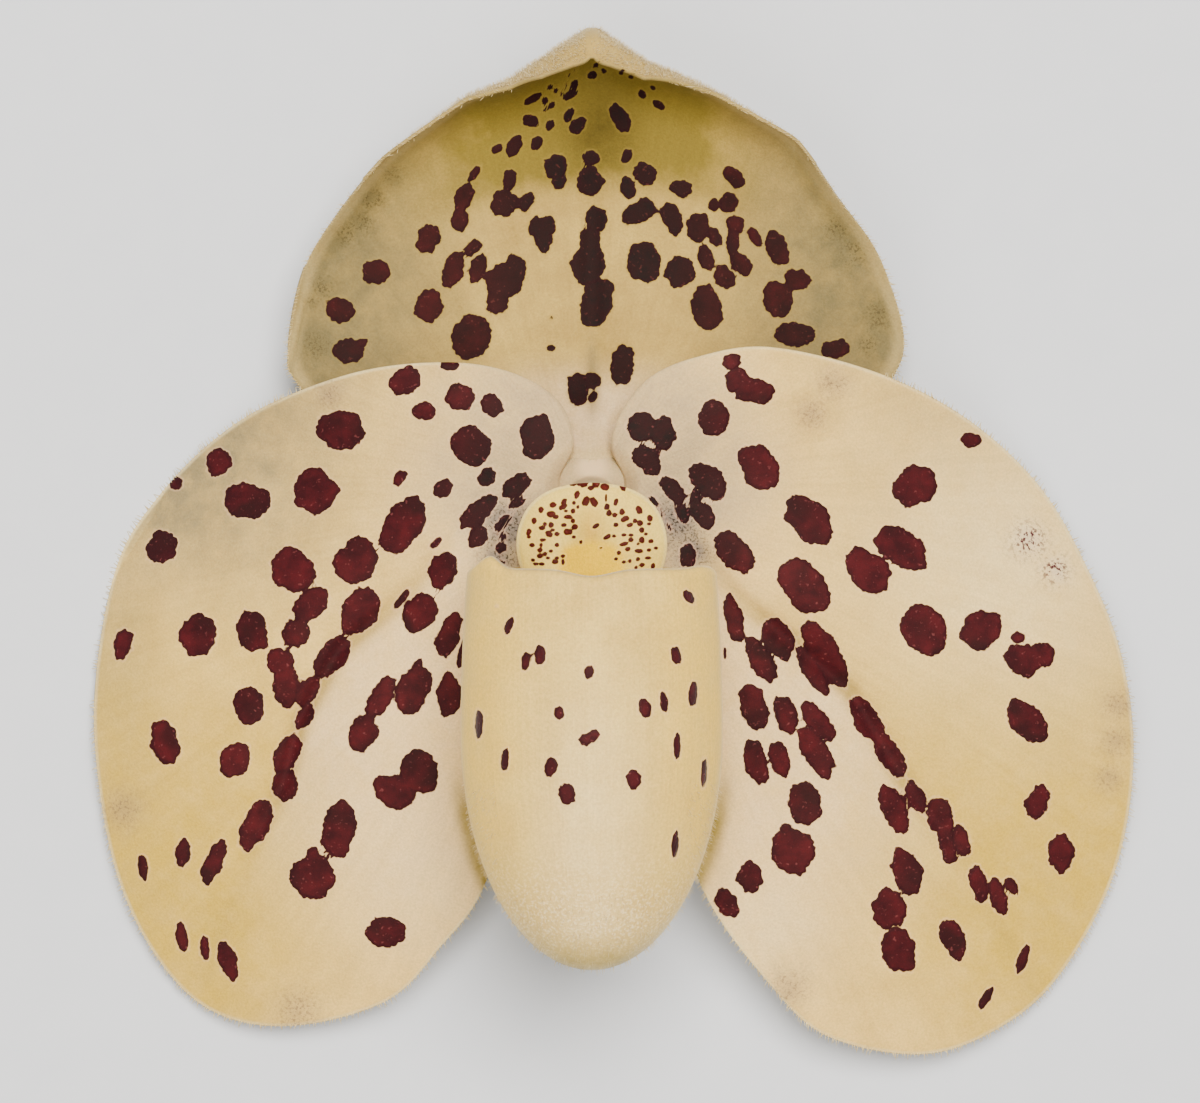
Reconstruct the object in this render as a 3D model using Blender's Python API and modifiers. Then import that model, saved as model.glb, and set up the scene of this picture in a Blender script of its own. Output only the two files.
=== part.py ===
"""A slipper orchid flower (Paphiopedilum), picked with a short stalk and lying on its back, face up.

+Z points out of the flower's face, +Y towards its dorsal sepal and +X to the viewer's right.
Every size is in millimetres. Plan positions are measured from the heart, the spot on top of the
ovary where all the parts meet, and heights from the surface that the flower lies on.
"""

import math

import bmesh
import bpy
import numpy as np
from mathutils import Vector

MM = 0.001

# Where the heart stands, so that the origin is under the middle of the flower's box
HEART = (-1.67, 3.25)

# Petals and sepals
TEPAL_THICKNESS = 0.8
PETAL_BASE_HEIGHT = 11.34
PETAL_DROOP = 6.2
PETAL_SHOULDER_DROOP = 8.7
PETAL_SHOULDER_BEARING = 4.0
PETAL_SHOULDER_SPREAD = 22.0
PETAL_DROOP_POWER = 1.8
PETAL_REACH = {"right": 39.1, "left": 35.4}
MIDRIB_BEARING = {"right": -46.0, "left": -48.0}
MIDRIB_GROOVE = 0.9
MIDRIB_GROOVE_WIDTH = 2.4
PETAL_WAVE = 0.45
PETAL_WAVES_ROUND = 7
PETAL_CENTRE = {"right": (20.5, -15.5), "left": (-18.5, -15.0)}
PETAL_OUTLINE = {
    "right": (
        (2.35, -1.6), (3.0, -8.0), (5.0, -19.5), (8.0, -28.8), (12.8, -35.6), (17.1, -39.4),
        (24.3, -40.6), (30.5, -38.0), (34.6, -33.6), (37.8, -27.0), (39.0, -19.4), (38.3, -12.2),
        (36.2, -5.4), (32.6, 1.1), (27.6, 5.4), (20.6, 8.6), (12.8, 10.3), (7.6, 9.6),
        (4.0, 8.0), (1.9, 5.2), (1.4, 2.9), (2.2, 1.2), (2.3, -0.2),
    ),
    "left": (
        (-2.35, -1.6), (-3.2, -9.0), (-5.2, -20.0), (-7.8, -28.6), (-10.9, -32.9), (-14.8, -36.8),
        (-21.7, -38.8), (-27.4, -37.5), (-31.4, -34.0), (-34.4, -27.0), (-35.6, -18.4), (-35.2, -10.8),
        (-32.6, -4.0), (-28.2, 1.6), (-22.6, 6.2), (-16.5, 8.5), (-10.2, 9.2), (-5.6, 8.4),
        (-2.4, 6.4), (-1.3, 3.4), (-2.2, 1.2), (-2.3, -0.2),
    ),
}
DORSAL_CENTRE = (0.0, 15.0)
DORSAL_LOWER_OUTLINE = (
    (-18.2, 5.8), (-13.0, 4.2), (-7.0, 2.5), (-2.2, 2.2), (2.2, 2.2), (7.0, 2.5), (13.0, 4.2), (18.5, 5.8),
)
# The top edge as seen from in front, and how far it has turned forwards there, in degrees
DORSAL_TOP_EDGE = (
    (-21.9, 10.2, 15), (-20.6, 16.6, 30), (-17.8, 20.9, 52), (-14.6, 24.2, 70), (-11.4, 26.7, 86),
    (-8.4, 28.5, 100), (-5.6, 29.9, 118), (-2.8, 31.7, 138), (0.0, 33.4, 148), (2.8, 31.9, 138),
    (5.6, 30.2, 118), (8.4, 29.2, 100), (11.2, 27.6, 86), (14.2, 25.3, 70), (17.4, 21.9, 52),
    (20.3, 17.4, 30), (22.2, 11.4, 15),
)
DORSAL_LOW_HEIGHT = 4.85
DORSAL_LOW_AT = 17.0
DORSAL_BOWL = 0.0198
DORSAL_HALF_WIDTH = 22.0
DORSAL_SIDE_RISE = 2.6
DORSAL_CORNER_DROP = 2.0
HOOD_RADIUS = 5.0
SYNSEPAL_CENTRE = (0.0, -15.0)
SYNSEPAL_OUTLINE = (
    (2.2, -2.6), (6.2, -5.0), (9.5, -10.5), (10.4, -16.0), (8.8, -22.4), (4.7, -27.0),
    (0.0, -28.6),
    (-4.7, -27.0), (-8.8, -22.4), (-10.4, -16.0), (-9.5, -10.5), (-6.2, -5.0), (-2.2, -2.6),
)
SYNSEPAL_HEIGHT = 6.8
SYNSEPAL_BASE_RISE = 2.4
SYNSEPAL_SIDE_RISE = 0.1
SYNSEPAL_HALF_WIDTH = 10.4

# Lip, the pouch that hangs below the heart
LIP_WALL = 0.9
LIP_HALF_WIDTH = 9.15
LIP_HALF_DEPTH = 7.6
LIP_BACK_HEIGHT = 11.85
LIP_MIDDLE_Y = -21.2
LIP_ROUND_END = 12.7
LIP_ROUND_SHARE = 0.55
LIP_RIM_Y = -5.6
LIP_RIM_NOTCH = 0.65
LIP_RIM_EAR = 0.7
LIP_CLAW_Y = -2.5
LIP_RIM_NARROWING = 0.05

# Column, staminode, anthers and stigma
COLUMN_LINE = ((0.0, -0.2, 8.35), (0.0, -0.3, 11.4), (0.0, -0.8, 14.0), (0.0, -1.4, 16.6), (0.0, -1.6, 17.85))
COLUMN_RADII = (1.95, 1.85, 1.65, 1.9, 1.6)
STIGMA_AT = (0.0, -3.7, 14.6)
STIGMA_RADII = (1.9, 0.75, 1.45)
ANTHER_AT = (3.05, -1.6, 15.6)
ANTHER_RADII = (0.9, 1.25, 1.1)
STAMINODE_CENTRE = (0.0, -3.6)
STAMINODE_OUTLINE = (
    (0.0, 0.4), (2.6, 0.0), (4.3, -1.1), (5.15, -2.8), (5.25, -4.6), (4.6, -6.3), (3.0, -7.3),
    (1.3, -7.5), (0.0, -8.0),
    (-1.3, -7.5), (-3.0, -7.3), (-4.6, -6.3), (-5.25, -4.6), (-5.15, -2.8), (-4.3, -1.1), (-2.6, 0.0),
)
STAMINODE_HEIGHT = 19.7
STAMINODE_HALF_WIDTH = 5.25
STAMINODE_CROWN = 1.5
STAMINODE_THICKNESS = 1.0

# Ovary, bract and scape, the stalk behind the flower
OVARY_TOP_HEIGHT = 8.0
OVARY_BEND_RADIUS = 4.5
OVARY_BASE_Y = -24.2
OVARY_BASE_HEIGHT = 2.9
OVARY_RIBS = 6
OVARY_RIB_RISE = 0.06
OVARY_RADII = ((0.0, 1.6), (0.25, 1.85), (0.6, 2.1), (0.88, 2.15), (1.0, 2.8))
BRACT_BASE_Y = -24.9
BRACT_CLEARANCE = 0.4
BRACT_THICKNESS = 0.6
BRACT_CENTRE = (0.0, 6.5)
BRACT_OUTLINE = (
    (0.0, 0.0), (3.2, 0.3), (5.2, 3.0), (5.6, 6.5), (4.2, 10.5), (1.8, 13.8), (0.0, 15.0),
    (-1.8, 13.8), (-4.2, 10.5), (-5.6, 6.5), (-5.2, 3.0), (-3.2, 0.3),
)
SCAPE_LINE = ((0.0, -33.1, 1.8), (0.0, -30.0, 2.25), (0.0, -27.0, 2.65), (0.0, -24.55, 2.85))
SCAPE_RADII = (1.95, 1.8, 1.75, 1.8)

# Finishes: red, green and blue from 0 to 1, then roughness
PETAL_CREAM = ((0.66, 0.53, 0.31), 0.55)
SEPAL_CREAM = ((0.52, 0.42, 0.21), 0.6)
POUCH_CREAM = ((0.72, 0.61, 0.42), 0.45)
COLUMN_WHITE = ((0.72, 0.64, 0.48), 0.45)
STAMINODE_YELLOW = ((0.72, 0.58, 0.30), 0.45)
POLLEN_YELLOW = ((0.70, 0.48, 0.10), 0.4)
STALK_GREEN = ((0.17, 0.22, 0.08), 0.55)
BRACT_GREEN = ((0.22, 0.29, 0.10), 0.55)


def smooth_step(start, end, value):
    """0 before start, 1 after end, and a smooth rise between them."""
    share = min(1.0, max(0.0, (value - start) / (end - start)))
    return share * share * (3 - 2 * share)


def clear_scene():
    for obj in list(bpy.data.objects):
        bpy.data.objects.remove(obj, do_unlink=True)


def new_collection(name):
    collection = bpy.data.collections.new(name)
    bpy.context.scene.collection.children.link(collection)
    return collection


def add_part(name, mesh, collection, heart, finish):
    """An object for a mesh whose points are measured from the heart, with a plain finish of its own."""
    colour, roughness = finish
    material = bpy.data.materials.new(f"{name}_finish")
    material.use_nodes = True
    shader = material.node_tree.nodes["Principled BSDF"]
    shader.inputs["Base Color"].default_value = (*colour, 1.0)
    shader.inputs["Roughness"].default_value = roughness
    shader.inputs["Metallic"].default_value = 0.0
    for polygon in mesh.polygons:
        polygon.use_smooth = True
    mesh.materials.append(material)
    obj = bpy.data.objects.new(name, mesh)
    obj.parent = heart
    collection.objects.link(obj)
    return obj


def mesh_from(bm, name):
    mesh = bpy.data.meshes.new(name)
    bm.to_mesh(mesh)
    bm.free()
    return mesh


class Outline:
    """A closed smooth line through a few points, which is filled from its centre."""

    SAMPLES = 24

    def __init__(self, centre, points):
        self.centre = np.array(centre)
        ring = np.array(points)
        before, after, beyond = (np.roll(ring, shift, axis=0) for shift in (1, -1, -2))
        line = []
        for share in np.arange(self.SAMPLES) / self.SAMPLES:
            line.append(
                0.5 * (
                    2 * ring
                    + (after - before) * share
                    + (2 * before - 5 * ring + 4 * after - beyond) * share**2
                    + (3 * ring - before - 3 * after + beyond) * share**3
                )
            )
        spokes = np.concatenate(line) - self.centre
        bearings = np.arctan2(spokes[:, 1], spokes[:, 0])
        order = np.argsort(bearings)
        self.bearings = bearings[order]
        self.reaches = np.hypot(spokes[:, 0], spokes[:, 1])[order]

    def place(self, across, along):
        """The point for a place on a square sheet from -1 to 1, rounded to a disc and stretched."""
        u = across * math.sqrt(1 - along * along / 2)
        v = along * math.sqrt(1 - across * across / 2)
        bearing = math.atan2(v, u)
        reach = math.hypot(u, v) * np.interp(bearing, self.bearings, self.reaches, period=2 * math.pi)
        return self.centre + reach * np.array((math.cos(bearing), math.sin(bearing)))


def blade(name, outline, surface, cells, thickness, collection, heart, finish):
    """A thin leaf-like piece: a sheet cut to its outline, curved by surface(x, y) and thickened backwards."""
    bm = bmesh.new()
    bmesh.ops.create_grid(bm, x_segments=cells, y_segments=cells, size=1.0)
    for vert in bm.verts:
        x, y = outline.place(vert.co.x, vert.co.y)
        vert.co = Vector(surface(x, y)) * MM
    obj = add_part(name, mesh_from(bm, name), collection, heart, finish)
    solid = obj.modifiers.new("thickness", "SOLIDIFY")
    solid.thickness = thickness * MM
    solid.offset = -1.0
    return obj


def petal_surface(side):
    """A petal arches back from the heart, most at its outer shoulder, with a groove down its midrib."""
    turn = 1 if side == "right" else -1
    midrib = math.radians(MIDRIB_BEARING[side])

    def surface(x, y):
        outward = turn * x
        distance = math.hypot(x, y)
        bearing = math.degrees(math.atan2(y, outward))
        shoulder = math.exp(-(((bearing - PETAL_SHOULDER_BEARING) / PETAL_SHOULDER_SPREAD) ** 2))
        droop = PETAL_DROOP + PETAL_SHOULDER_DROOP * shoulder
        height = PETAL_BASE_HEIGHT - droop * (distance / PETAL_REACH[side]) ** PETAL_DROOP_POWER
        along = outward * math.cos(midrib) + y * math.sin(midrib)
        across = y * math.cos(midrib) - outward * math.sin(midrib)
        groove = MIDRIB_GROOVE * smooth_step(6, 22, along) * (1 - smooth_step(34, 48, along))
        height -= groove * math.exp(-((across / MIDRIB_GROOVE_WIDTH) ** 2))
        wave = math.cos(PETAL_WAVES_ROUND * math.radians(bearing) + 0.9)
        height += PETAL_WAVE * wave * smooth_step(0.55, 1.05, distance / PETAL_REACH[side])
        return x, y, height

    return surface


def hood_roll(x):
    """Where the hood starts to roll up, its slope there, and the length of its roll to the edge."""
    across, edges, turns = zip(*DORSAL_TOP_EDGE)
    edge = np.interp(x, across, edges)
    turn = math.radians(np.interp(x, across, turns))
    slope = 0.0
    for _ in range(4):
        start = edge - HOOD_RADIUS * (math.sin(min(turn, math.pi / 2)) - math.sin(slope))
        slope = min(turn, math.atan(2 * DORSAL_BOWL * (start - DORSAL_LOW_AT)))
    return start, slope, HOOD_RADIUS * (turn - slope)


def dorsal_outline():
    """The dorsal sepal's outline as if its hood were rolled out flat."""
    top = []
    for x, _, _ in reversed(DORSAL_TOP_EDGE):
        start, _, rolled = hood_roll(x)
        top.append((x, start + rolled))
    return Outline(DORSAL_CENTRE, (*DORSAL_LOWER_OUTLINE, *top))


def dorsal_surface(x, y):
    """The dorsal sepal is a shallow bowl whose top rolls forwards into a hood, hooked at its tip."""

    def bowl(at):
        height = DORSAL_LOW_HEIGHT + DORSAL_BOWL * (at - DORSAL_LOW_AT) ** 2
        side = -DORSAL_CORNER_DROP + (DORSAL_CORNER_DROP + DORSAL_SIDE_RISE) * smooth_step(2, 20, at)
        return height + side * (x / DORSAL_HALF_WIDTH) ** 2

    start, slope, _ = hood_roll(x)
    if y <= start:
        return x, y, bowl(y)
    turned = slope + (y - start) / HOOD_RADIUS
    rolled_y = start + HOOD_RADIUS * (math.sin(turned) - math.sin(slope))
    return x, rolled_y, bowl(start) + HOOD_RADIUS * (math.cos(slope) - math.cos(turned))


def synsepal_surface(x, y):
    """The synsepal, the two lower sepals grown together, lies boat-shaped between pouch and ovary."""
    height = SYNSEPAL_HEIGHT + SYNSEPAL_BASE_RISE * math.exp((y - SYNSEPAL_OUTLINE[0][1]) / 5.0)
    return x, y, height + SYNSEPAL_SIDE_RISE * (x / SYNSEPAL_HALF_WIDTH) ** 2


def staminode_surface(x, y):
    """The staminode is a low shield, crowned across its width."""
    crown = STAMINODE_CROWN * (x / STAMINODE_HALF_WIDTH) ** 2
    return x, y, STAMINODE_HEIGHT - crown - 0.05 * (y - STAMINODE_CENTRE[1]) ** 2


def lip_rim_y(around):
    """How far up the pouch's rim stands, by the angle round it: 90 degrees is its front, -90 its back."""
    half_front = math.cos(around)
    if math.sin(around) >= 0:
        ears = LIP_RIM_EAR * math.exp(-(((abs(half_front) - 0.9) / 0.14) ** 2))
        notch = LIP_RIM_NOTCH * math.exp(-((half_front / 0.22) ** 2))
        return LIP_RIM_Y + ears - notch
    claw = math.exp(-((half_front / 0.32) ** 2))
    ears = LIP_RIM_EAR * math.exp(-(((abs(half_front) - 0.9) / 0.14) ** 2))
    return LIP_RIM_Y + ears + (LIP_CLAW_Y - LIP_RIM_Y) * claw


def lip_point(around, share):
    """A point of the pouch's outer face: share 0 is its round end and 1 its rim."""
    rim = lip_rim_y(around)
    if share < LIP_ROUND_SHARE:
        turn = share / LIP_ROUND_SHARE * math.pi / 2
        y = LIP_MIDDLE_Y - LIP_ROUND_END * math.cos(turn)
        girth = math.sin(turn)
    else:
        climb = (share - LIP_ROUND_SHARE) / (1 - LIP_ROUND_SHARE)
        y = LIP_MIDDLE_Y + (rim - LIP_MIDDLE_Y) * climb
        girth = 1 - LIP_RIM_NARROWING * climb**2
    x = LIP_HALF_WIDTH * girth * math.cos(around)
    height = LIP_BACK_HEIGHT + LIP_HALF_DEPTH * (1 + girth * math.sin(around))
    return x, y, height


def lip(collection, heart, finish, round_cells=28, long_cells=18, open_cells=3):
    """The pouch: a globe with its cap taken off, drawn out into a bag and given its wall."""
    bm = bmesh.new()
    bmesh.ops.create_uvsphere(bm, u_segments=round_cells, v_segments=long_cells, radius=1.0)
    last_angle = math.pi * (long_cells - open_cells) / long_cells
    polar = {vert: math.acos(max(-1.0, min(1.0, -vert.co.z))) for vert in bm.verts}
    cap = [vert for vert in bm.verts if polar[vert] > last_angle + 0.01]
    bmesh.ops.delete(bm, geom=cap, context="VERTS")
    for vert in bm.verts:
        around = math.atan2(vert.co.y, vert.co.x)
        vert.co = Vector(lip_point(around, polar[vert] / last_angle)) * MM
    bmesh.ops.recalc_face_normals(bm, faces=bm.faces)
    obj = add_part("lip_pouch", mesh_from(bm, "lip_pouch"), collection, heart, finish)
    solid = obj.modifiers.new("wall", "SOLIDIFY")
    solid.thickness = LIP_WALL * MM
    solid.offset = -1.0
    return obj


def tube_mesh(name, line, radii, sides=12, profile=None):
    """A closed tube along a line of points, its girth changing from point to point, as a mesh."""
    curve = bpy.data.curves.new(name, "CURVE")
    curve.dimensions = "3D"
    curve.use_fill_caps = True
    if profile is None:
        curve.bevel_depth = MM
        curve.bevel_resolution = sides // 4 - 1
    else:
        curve.bevel_mode = "OBJECT"
        curve.bevel_object = profile
    spline = curve.splines.new("POLY")
    spline.points.add(len(line) - 1)
    for point, place, radius in zip(spline.points, line, radii):
        point.co = (*(Vector(place) * MM), 1.0)
        point.radius = radius
    guide = bpy.data.objects.new(name + "_line", curve)
    bpy.context.scene.collection.objects.link(guide)
    bpy.context.view_layer.update()
    graph = bpy.context.evaluated_depsgraph_get()
    mesh = bpy.data.meshes.new_from_object(guide.evaluated_get(graph))
    mesh.name = name
    bpy.data.objects.remove(guide, do_unlink=True)
    bm = bmesh.new()
    bm.from_mesh(mesh)
    bmesh.ops.remove_doubles(bm, verts=bm.verts, dist=0.00001)
    bmesh.ops.recalc_face_normals(bm, faces=bm.faces)
    bm.to_mesh(mesh)
    bm.free()
    return mesh


def ball_mesh(name, centre, radii, round_cells=14, long_cells=10):
    """An egg-shaped mesh about a centre."""
    bm = bmesh.new()
    bmesh.ops.create_uvsphere(bm, u_segments=round_cells, v_segments=long_cells, radius=1.0)
    for vert in bm.verts:
        vert.co = Vector(at + size * way for at, size, way in zip(centre, radii, vert.co)) * MM
    return mesh_from(bm, name)


def join_with(obj, other):
    """Joins another closed mesh to an object, then the other one is no longer needed."""
    union = obj.modifiers.new("join", "BOOLEAN")
    union.operation = "UNION"
    union.object = other


def column(collection, guides, heart, finish):
    """The column with the stigma, its disc, on a short stalk over the mouth of the pouch."""
    mesh = tube_mesh("column", COLUMN_LINE, COLUMN_RADII)
    obj = add_part("column", mesh, collection, heart, finish)
    stigma = add_part("stigma_guide", ball_mesh("stigma_guide", STIGMA_AT, STIGMA_RADII), guides, heart, finish)
    stalk_line = ((0.0, -0.9, STIGMA_AT[2]), (0.0, STIGMA_AT[1], STIGMA_AT[2]))
    stalk_mesh = tube_mesh("stigma_stalk_guide", stalk_line, (0.9, 0.8), sides=8)
    stalk = add_part("stigma_stalk_guide", stalk_mesh, guides, heart, finish)
    join_with(obj, stalk)
    join_with(obj, stigma)
    return obj


def ovary_height(y):
    """Height of the ovary's middle line where it runs level, rising slightly from its base."""
    level = OVARY_TOP_HEIGHT - OVARY_BEND_RADIUS
    share = (y - OVARY_BASE_Y) / (-OVARY_BEND_RADIUS - OVARY_BASE_Y)
    return OVARY_BASE_HEIGHT + (level - OVARY_BASE_HEIGHT) * min(1.0, share)


def ovary_line(level_steps=9, bend_steps=7):
    """The ovary's middle line: level from its base, then bent up to the heart."""
    line = []
    for step in range(level_steps):
        y = OVARY_BASE_Y + (-OVARY_BEND_RADIUS - OVARY_BASE_Y) * step / level_steps
        line.append((0.0, y, ovary_height(y)))
    for step in range(bend_steps + 1):
        turn = math.pi / 2 * step / bend_steps
        y = -OVARY_BEND_RADIUS * (1 - math.sin(turn))
        line.append((0.0, y, OVARY_TOP_HEIGHT - OVARY_BEND_RADIUS * math.cos(turn)))
    return line


def ovary(collection, heart, finish, rib_points=4):
    """The ribbed ovary, which swells towards the flower and flares where the parts meet on it."""
    section = bpy.data.curves.new("ovary_section", "CURVE")
    spline = section.splines.new("POLY")
    count = OVARY_RIBS * rib_points
    spline.points.add(count - 1)
    for index, point in enumerate(spline.points):
        turn = 2 * math.pi * index / count
        reach = MM * (1 + OVARY_RIB_RISE * math.cos(OVARY_RIBS * turn))
        point.co = (reach * math.cos(turn), reach * math.sin(turn), 0.0, 1.0)
    spline.use_cyclic_u = True
    profile = bpy.data.objects.new("ovary_section", section)
    bpy.context.scene.collection.objects.link(profile)
    line = ovary_line()
    shares = np.linspace(0, 1, len(line))
    radii = np.interp(shares, *zip(*OVARY_RADII))
    mesh = tube_mesh("ovary", line, radii, profile=profile)
    bpy.data.objects.remove(profile, do_unlink=True)
    return add_part("ovary", mesh, collection, heart, finish)


def bract_surface(across, along):
    """The bract is wrapped round the base of the ovary from below."""
    y = BRACT_BASE_Y + along
    share = max(0.0, (y - OVARY_BASE_Y) / -OVARY_BASE_Y)
    radius = np.interp(share, *zip(*OVARY_RADII)) * (1 + OVARY_RIB_RISE) + BRACT_CLEARANCE
    turn = across / radius
    return radius * math.sin(turn), y, ovary_height(y) - radius * math.cos(turn)


def table_cutter(guides):
    """A slab just under the flower, which presses flat what touches the surface."""
    bm = bmesh.new()
    bmesh.ops.create_cube(bm, size=1.0)
    bmesh.ops.scale(bm, vec=(0.12, 0.12, 0.006), verts=bm.verts)
    bmesh.ops.translate(bm, vec=(0.0, 0.0, -0.003), verts=bm.verts)
    table = bpy.data.objects.new("table_guide", mesh_from(bm, "table_guide"))
    guides.objects.link(table)
    return table


def press_flat(obj, table):
    cut = obj.modifiers.new("resting_flat", "BOOLEAN")
    cut.operation = "DIFFERENCE"
    cut.object = table


def main():
    clear_scene()
    flower = new_collection("paphiopedilum_flower")
    guides = new_collection("guides")
    heart = bpy.data.objects.new("heart", None)
    heart.location = (HEART[0] * MM, HEART[1] * MM, 0.0)
    flower.objects.link(heart)
    bpy.context.view_layer.update()

    table = table_cutter(guides)
    for side in ("left", "right"):
        outline = Outline(PETAL_CENTRE[side], PETAL_OUTLINE[side])
        petal = blade(
            f"petal_{side}", outline, petal_surface(side), 22, TEPAL_THICKNESS, flower, heart, PETAL_CREAM
        )
        press_flat(petal, table)
    blade("dorsal_sepal", dorsal_outline(), dorsal_surface, 24, TEPAL_THICKNESS, flower, heart, SEPAL_CREAM)
    blade(
        "synsepal", Outline(SYNSEPAL_CENTRE, SYNSEPAL_OUTLINE), synsepal_surface, 12, TEPAL_THICKNESS,
        flower, heart, SEPAL_CREAM,
    )
    lip(flower, heart, POUCH_CREAM)
    column(flower, guides, heart, COLUMN_WHITE)
    blade(
        "staminode", Outline(STAMINODE_CENTRE, STAMINODE_OUTLINE), staminode_surface, 10,
        STAMINODE_THICKNESS, flower, heart, STAMINODE_YELLOW,
    )
    for side, turn in (("left", -1), ("right", 1)):
        name = f"anther_{side}"
        centre = (turn * ANTHER_AT[0], *ANTHER_AT[1:])
        add_part(name, ball_mesh(name, centre, ANTHER_RADII), flower, heart, POLLEN_YELLOW)
    ovary(flower, heart, STALK_GREEN)
    blade(
        "bract", Outline(BRACT_CENTRE, BRACT_OUTLINE), bract_surface, 10, BRACT_THICKNESS,
        flower, heart, BRACT_GREEN,
    )
    scape = add_part("scape", tube_mesh("scape", SCAPE_LINE, SCAPE_RADII), flower, heart, STALK_GREEN)
    press_flat(scape, table)
    for guide in guides.objects:
        guide.hide_render = True
        guide.display_type = "WIRE"


main()
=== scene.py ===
"""The looks of a slipper orchid flower (Paphiopedilum), picked with a short stalk and lying face up.

+Z points out of the flower's face, +Y towards its dorsal sepal and +X to the viewer's right. Sizes are
in millimetres. Plan positions are measured from the heart, the spot where all the parts meet.
"""

import math

import bmesh
import bpy
import numpy as np
from mathutils import Matrix, Vector, noise


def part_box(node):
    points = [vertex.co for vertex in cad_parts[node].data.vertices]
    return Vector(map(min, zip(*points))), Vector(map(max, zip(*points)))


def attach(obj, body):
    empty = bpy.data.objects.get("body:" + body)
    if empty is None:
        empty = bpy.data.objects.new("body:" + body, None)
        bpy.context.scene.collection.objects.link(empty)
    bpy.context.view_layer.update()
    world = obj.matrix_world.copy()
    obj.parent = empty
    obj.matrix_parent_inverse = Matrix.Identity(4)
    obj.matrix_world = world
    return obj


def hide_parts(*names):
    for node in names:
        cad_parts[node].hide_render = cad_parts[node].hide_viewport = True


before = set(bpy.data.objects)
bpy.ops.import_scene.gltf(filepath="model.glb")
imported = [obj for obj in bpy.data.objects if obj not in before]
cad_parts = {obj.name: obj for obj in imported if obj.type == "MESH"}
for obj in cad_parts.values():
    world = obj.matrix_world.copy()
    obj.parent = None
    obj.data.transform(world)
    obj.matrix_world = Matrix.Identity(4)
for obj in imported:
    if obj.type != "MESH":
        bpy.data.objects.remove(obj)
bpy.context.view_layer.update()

# The camera
# It looks straight down on the face of the flower, as the photograph does, from 400 mm above the plane
# through the middle of the petals, where one pixel of the photograph is 0.072 mm of the flower.
MM = 0.001
PIXEL = 0.072
PHOTO_WIDTH = 1200
PHOTO_HEART = (592.0, 490.0)
FACE_HEIGHT = 8.0
EYE_DISTANCE = 400.0
EYE = (-1.09, -1.18)
SENSOR = 36.0
pouch_low, pouch_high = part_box("lip_pouch")
CLAW_BELOW_HEART = 2.5
HEART = np.array(((pouch_low.x + pouch_high.x) / 2 / MM, pouch_high.y / MM + CLAW_BELOW_HEART, 0.0))

camera_data = bpy.data.cameras.new("camera")
camera_data.sensor_width = SENSOR
camera_data.lens = SENSOR * EYE_DISTANCE / (PHOTO_WIDTH * PIXEL)
camera_data.clip_start = 0.01
camera_data.clip_end = 10.0
camera = bpy.data.objects.new("camera", camera_data)
camera.location = (EYE[0] * MM, EYE[1] * MM, (FACE_HEIGHT + EYE_DISTANCE) * MM)
bpy.context.scene.collection.objects.link(camera)
bpy.context.scene.camera = camera


# The petals
# The two petals are thick, waxy blades of living tissue, cream with raised maroon spots. They grow from
# the heart, arch backwards from it, and are fringed with short stiff hairs along their outer margins.
PETAL_THICKNESS = 0.8
PETAL_BASE_HEIGHT = 11.34
PETAL_DROOP = 6.2
PETAL_SHOULDER_DROOP = 8.7
PETAL_SHOULDER_BEARING = 4.0
PETAL_SHOULDER_SPREAD = 22.0
PETAL_DROOP_POWER = 1.8
PETAL_REACH = {"right": 39.1, "left": 35.4}
PETAL_WAVE = 0.45
PETAL_WAVES_ROUND = 7
PETAL_HAIR_SPACING = 0.24
# How much painted shade darkens each petal's shoulder, over a real grey-green tint there
PETAL_SHADE = {"right": 0.35, "left": 1.0}
PETAL_CENTRE = {"right": (20.5, -15.5), "left": (-18.5, -15.0)}
PETAL_OUTLINE = {
    "right": (
        (2.35, -1.6), (3.0, -8.0), (5.0, -19.5), (8.0, -28.8), (12.8, -35.6), (17.1, -39.4), (24.3, -40.6),
        (30.5, -38.0), (34.6, -33.6), (37.8, -27.0), (39.0, -19.4), (38.2, -12.2), (35.8, -5.9),
        (32.2, 0.3), (26.9, 5.2), (20.4, 8.5), (12.8, 10.3), (7.6, 9.6), (4.0, 8.0), (1.9, 5.2), (1.4, 2.9),
        (2.2, 1.2), (2.3, -0.2),
    ),
    "left": (
        (-2.35, -1.6), (-3.2, -9.0), (-5.2, -20.0), (-7.8, -28.6), (-10.9, -32.9), (-14.8, -36.8),
        (-21.7, -38.6), (-27.4, -37.5), (-31.5, -33.4), (-34.4, -27.0), (-35.8, -18.4), (-35.5, -11.5),
        (-34.0, -4.9), (-31.4, -0.7), (-27.6, 3.3), (-23.0, 6.3), (-16.5, 8.6), (-10.2, 9.2), (-5.6, 8.4),
        (-2.4, 6.4), (-1.3, 3.4), (-2.2, 1.2), (-2.3, -0.2),
    ),
}
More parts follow.
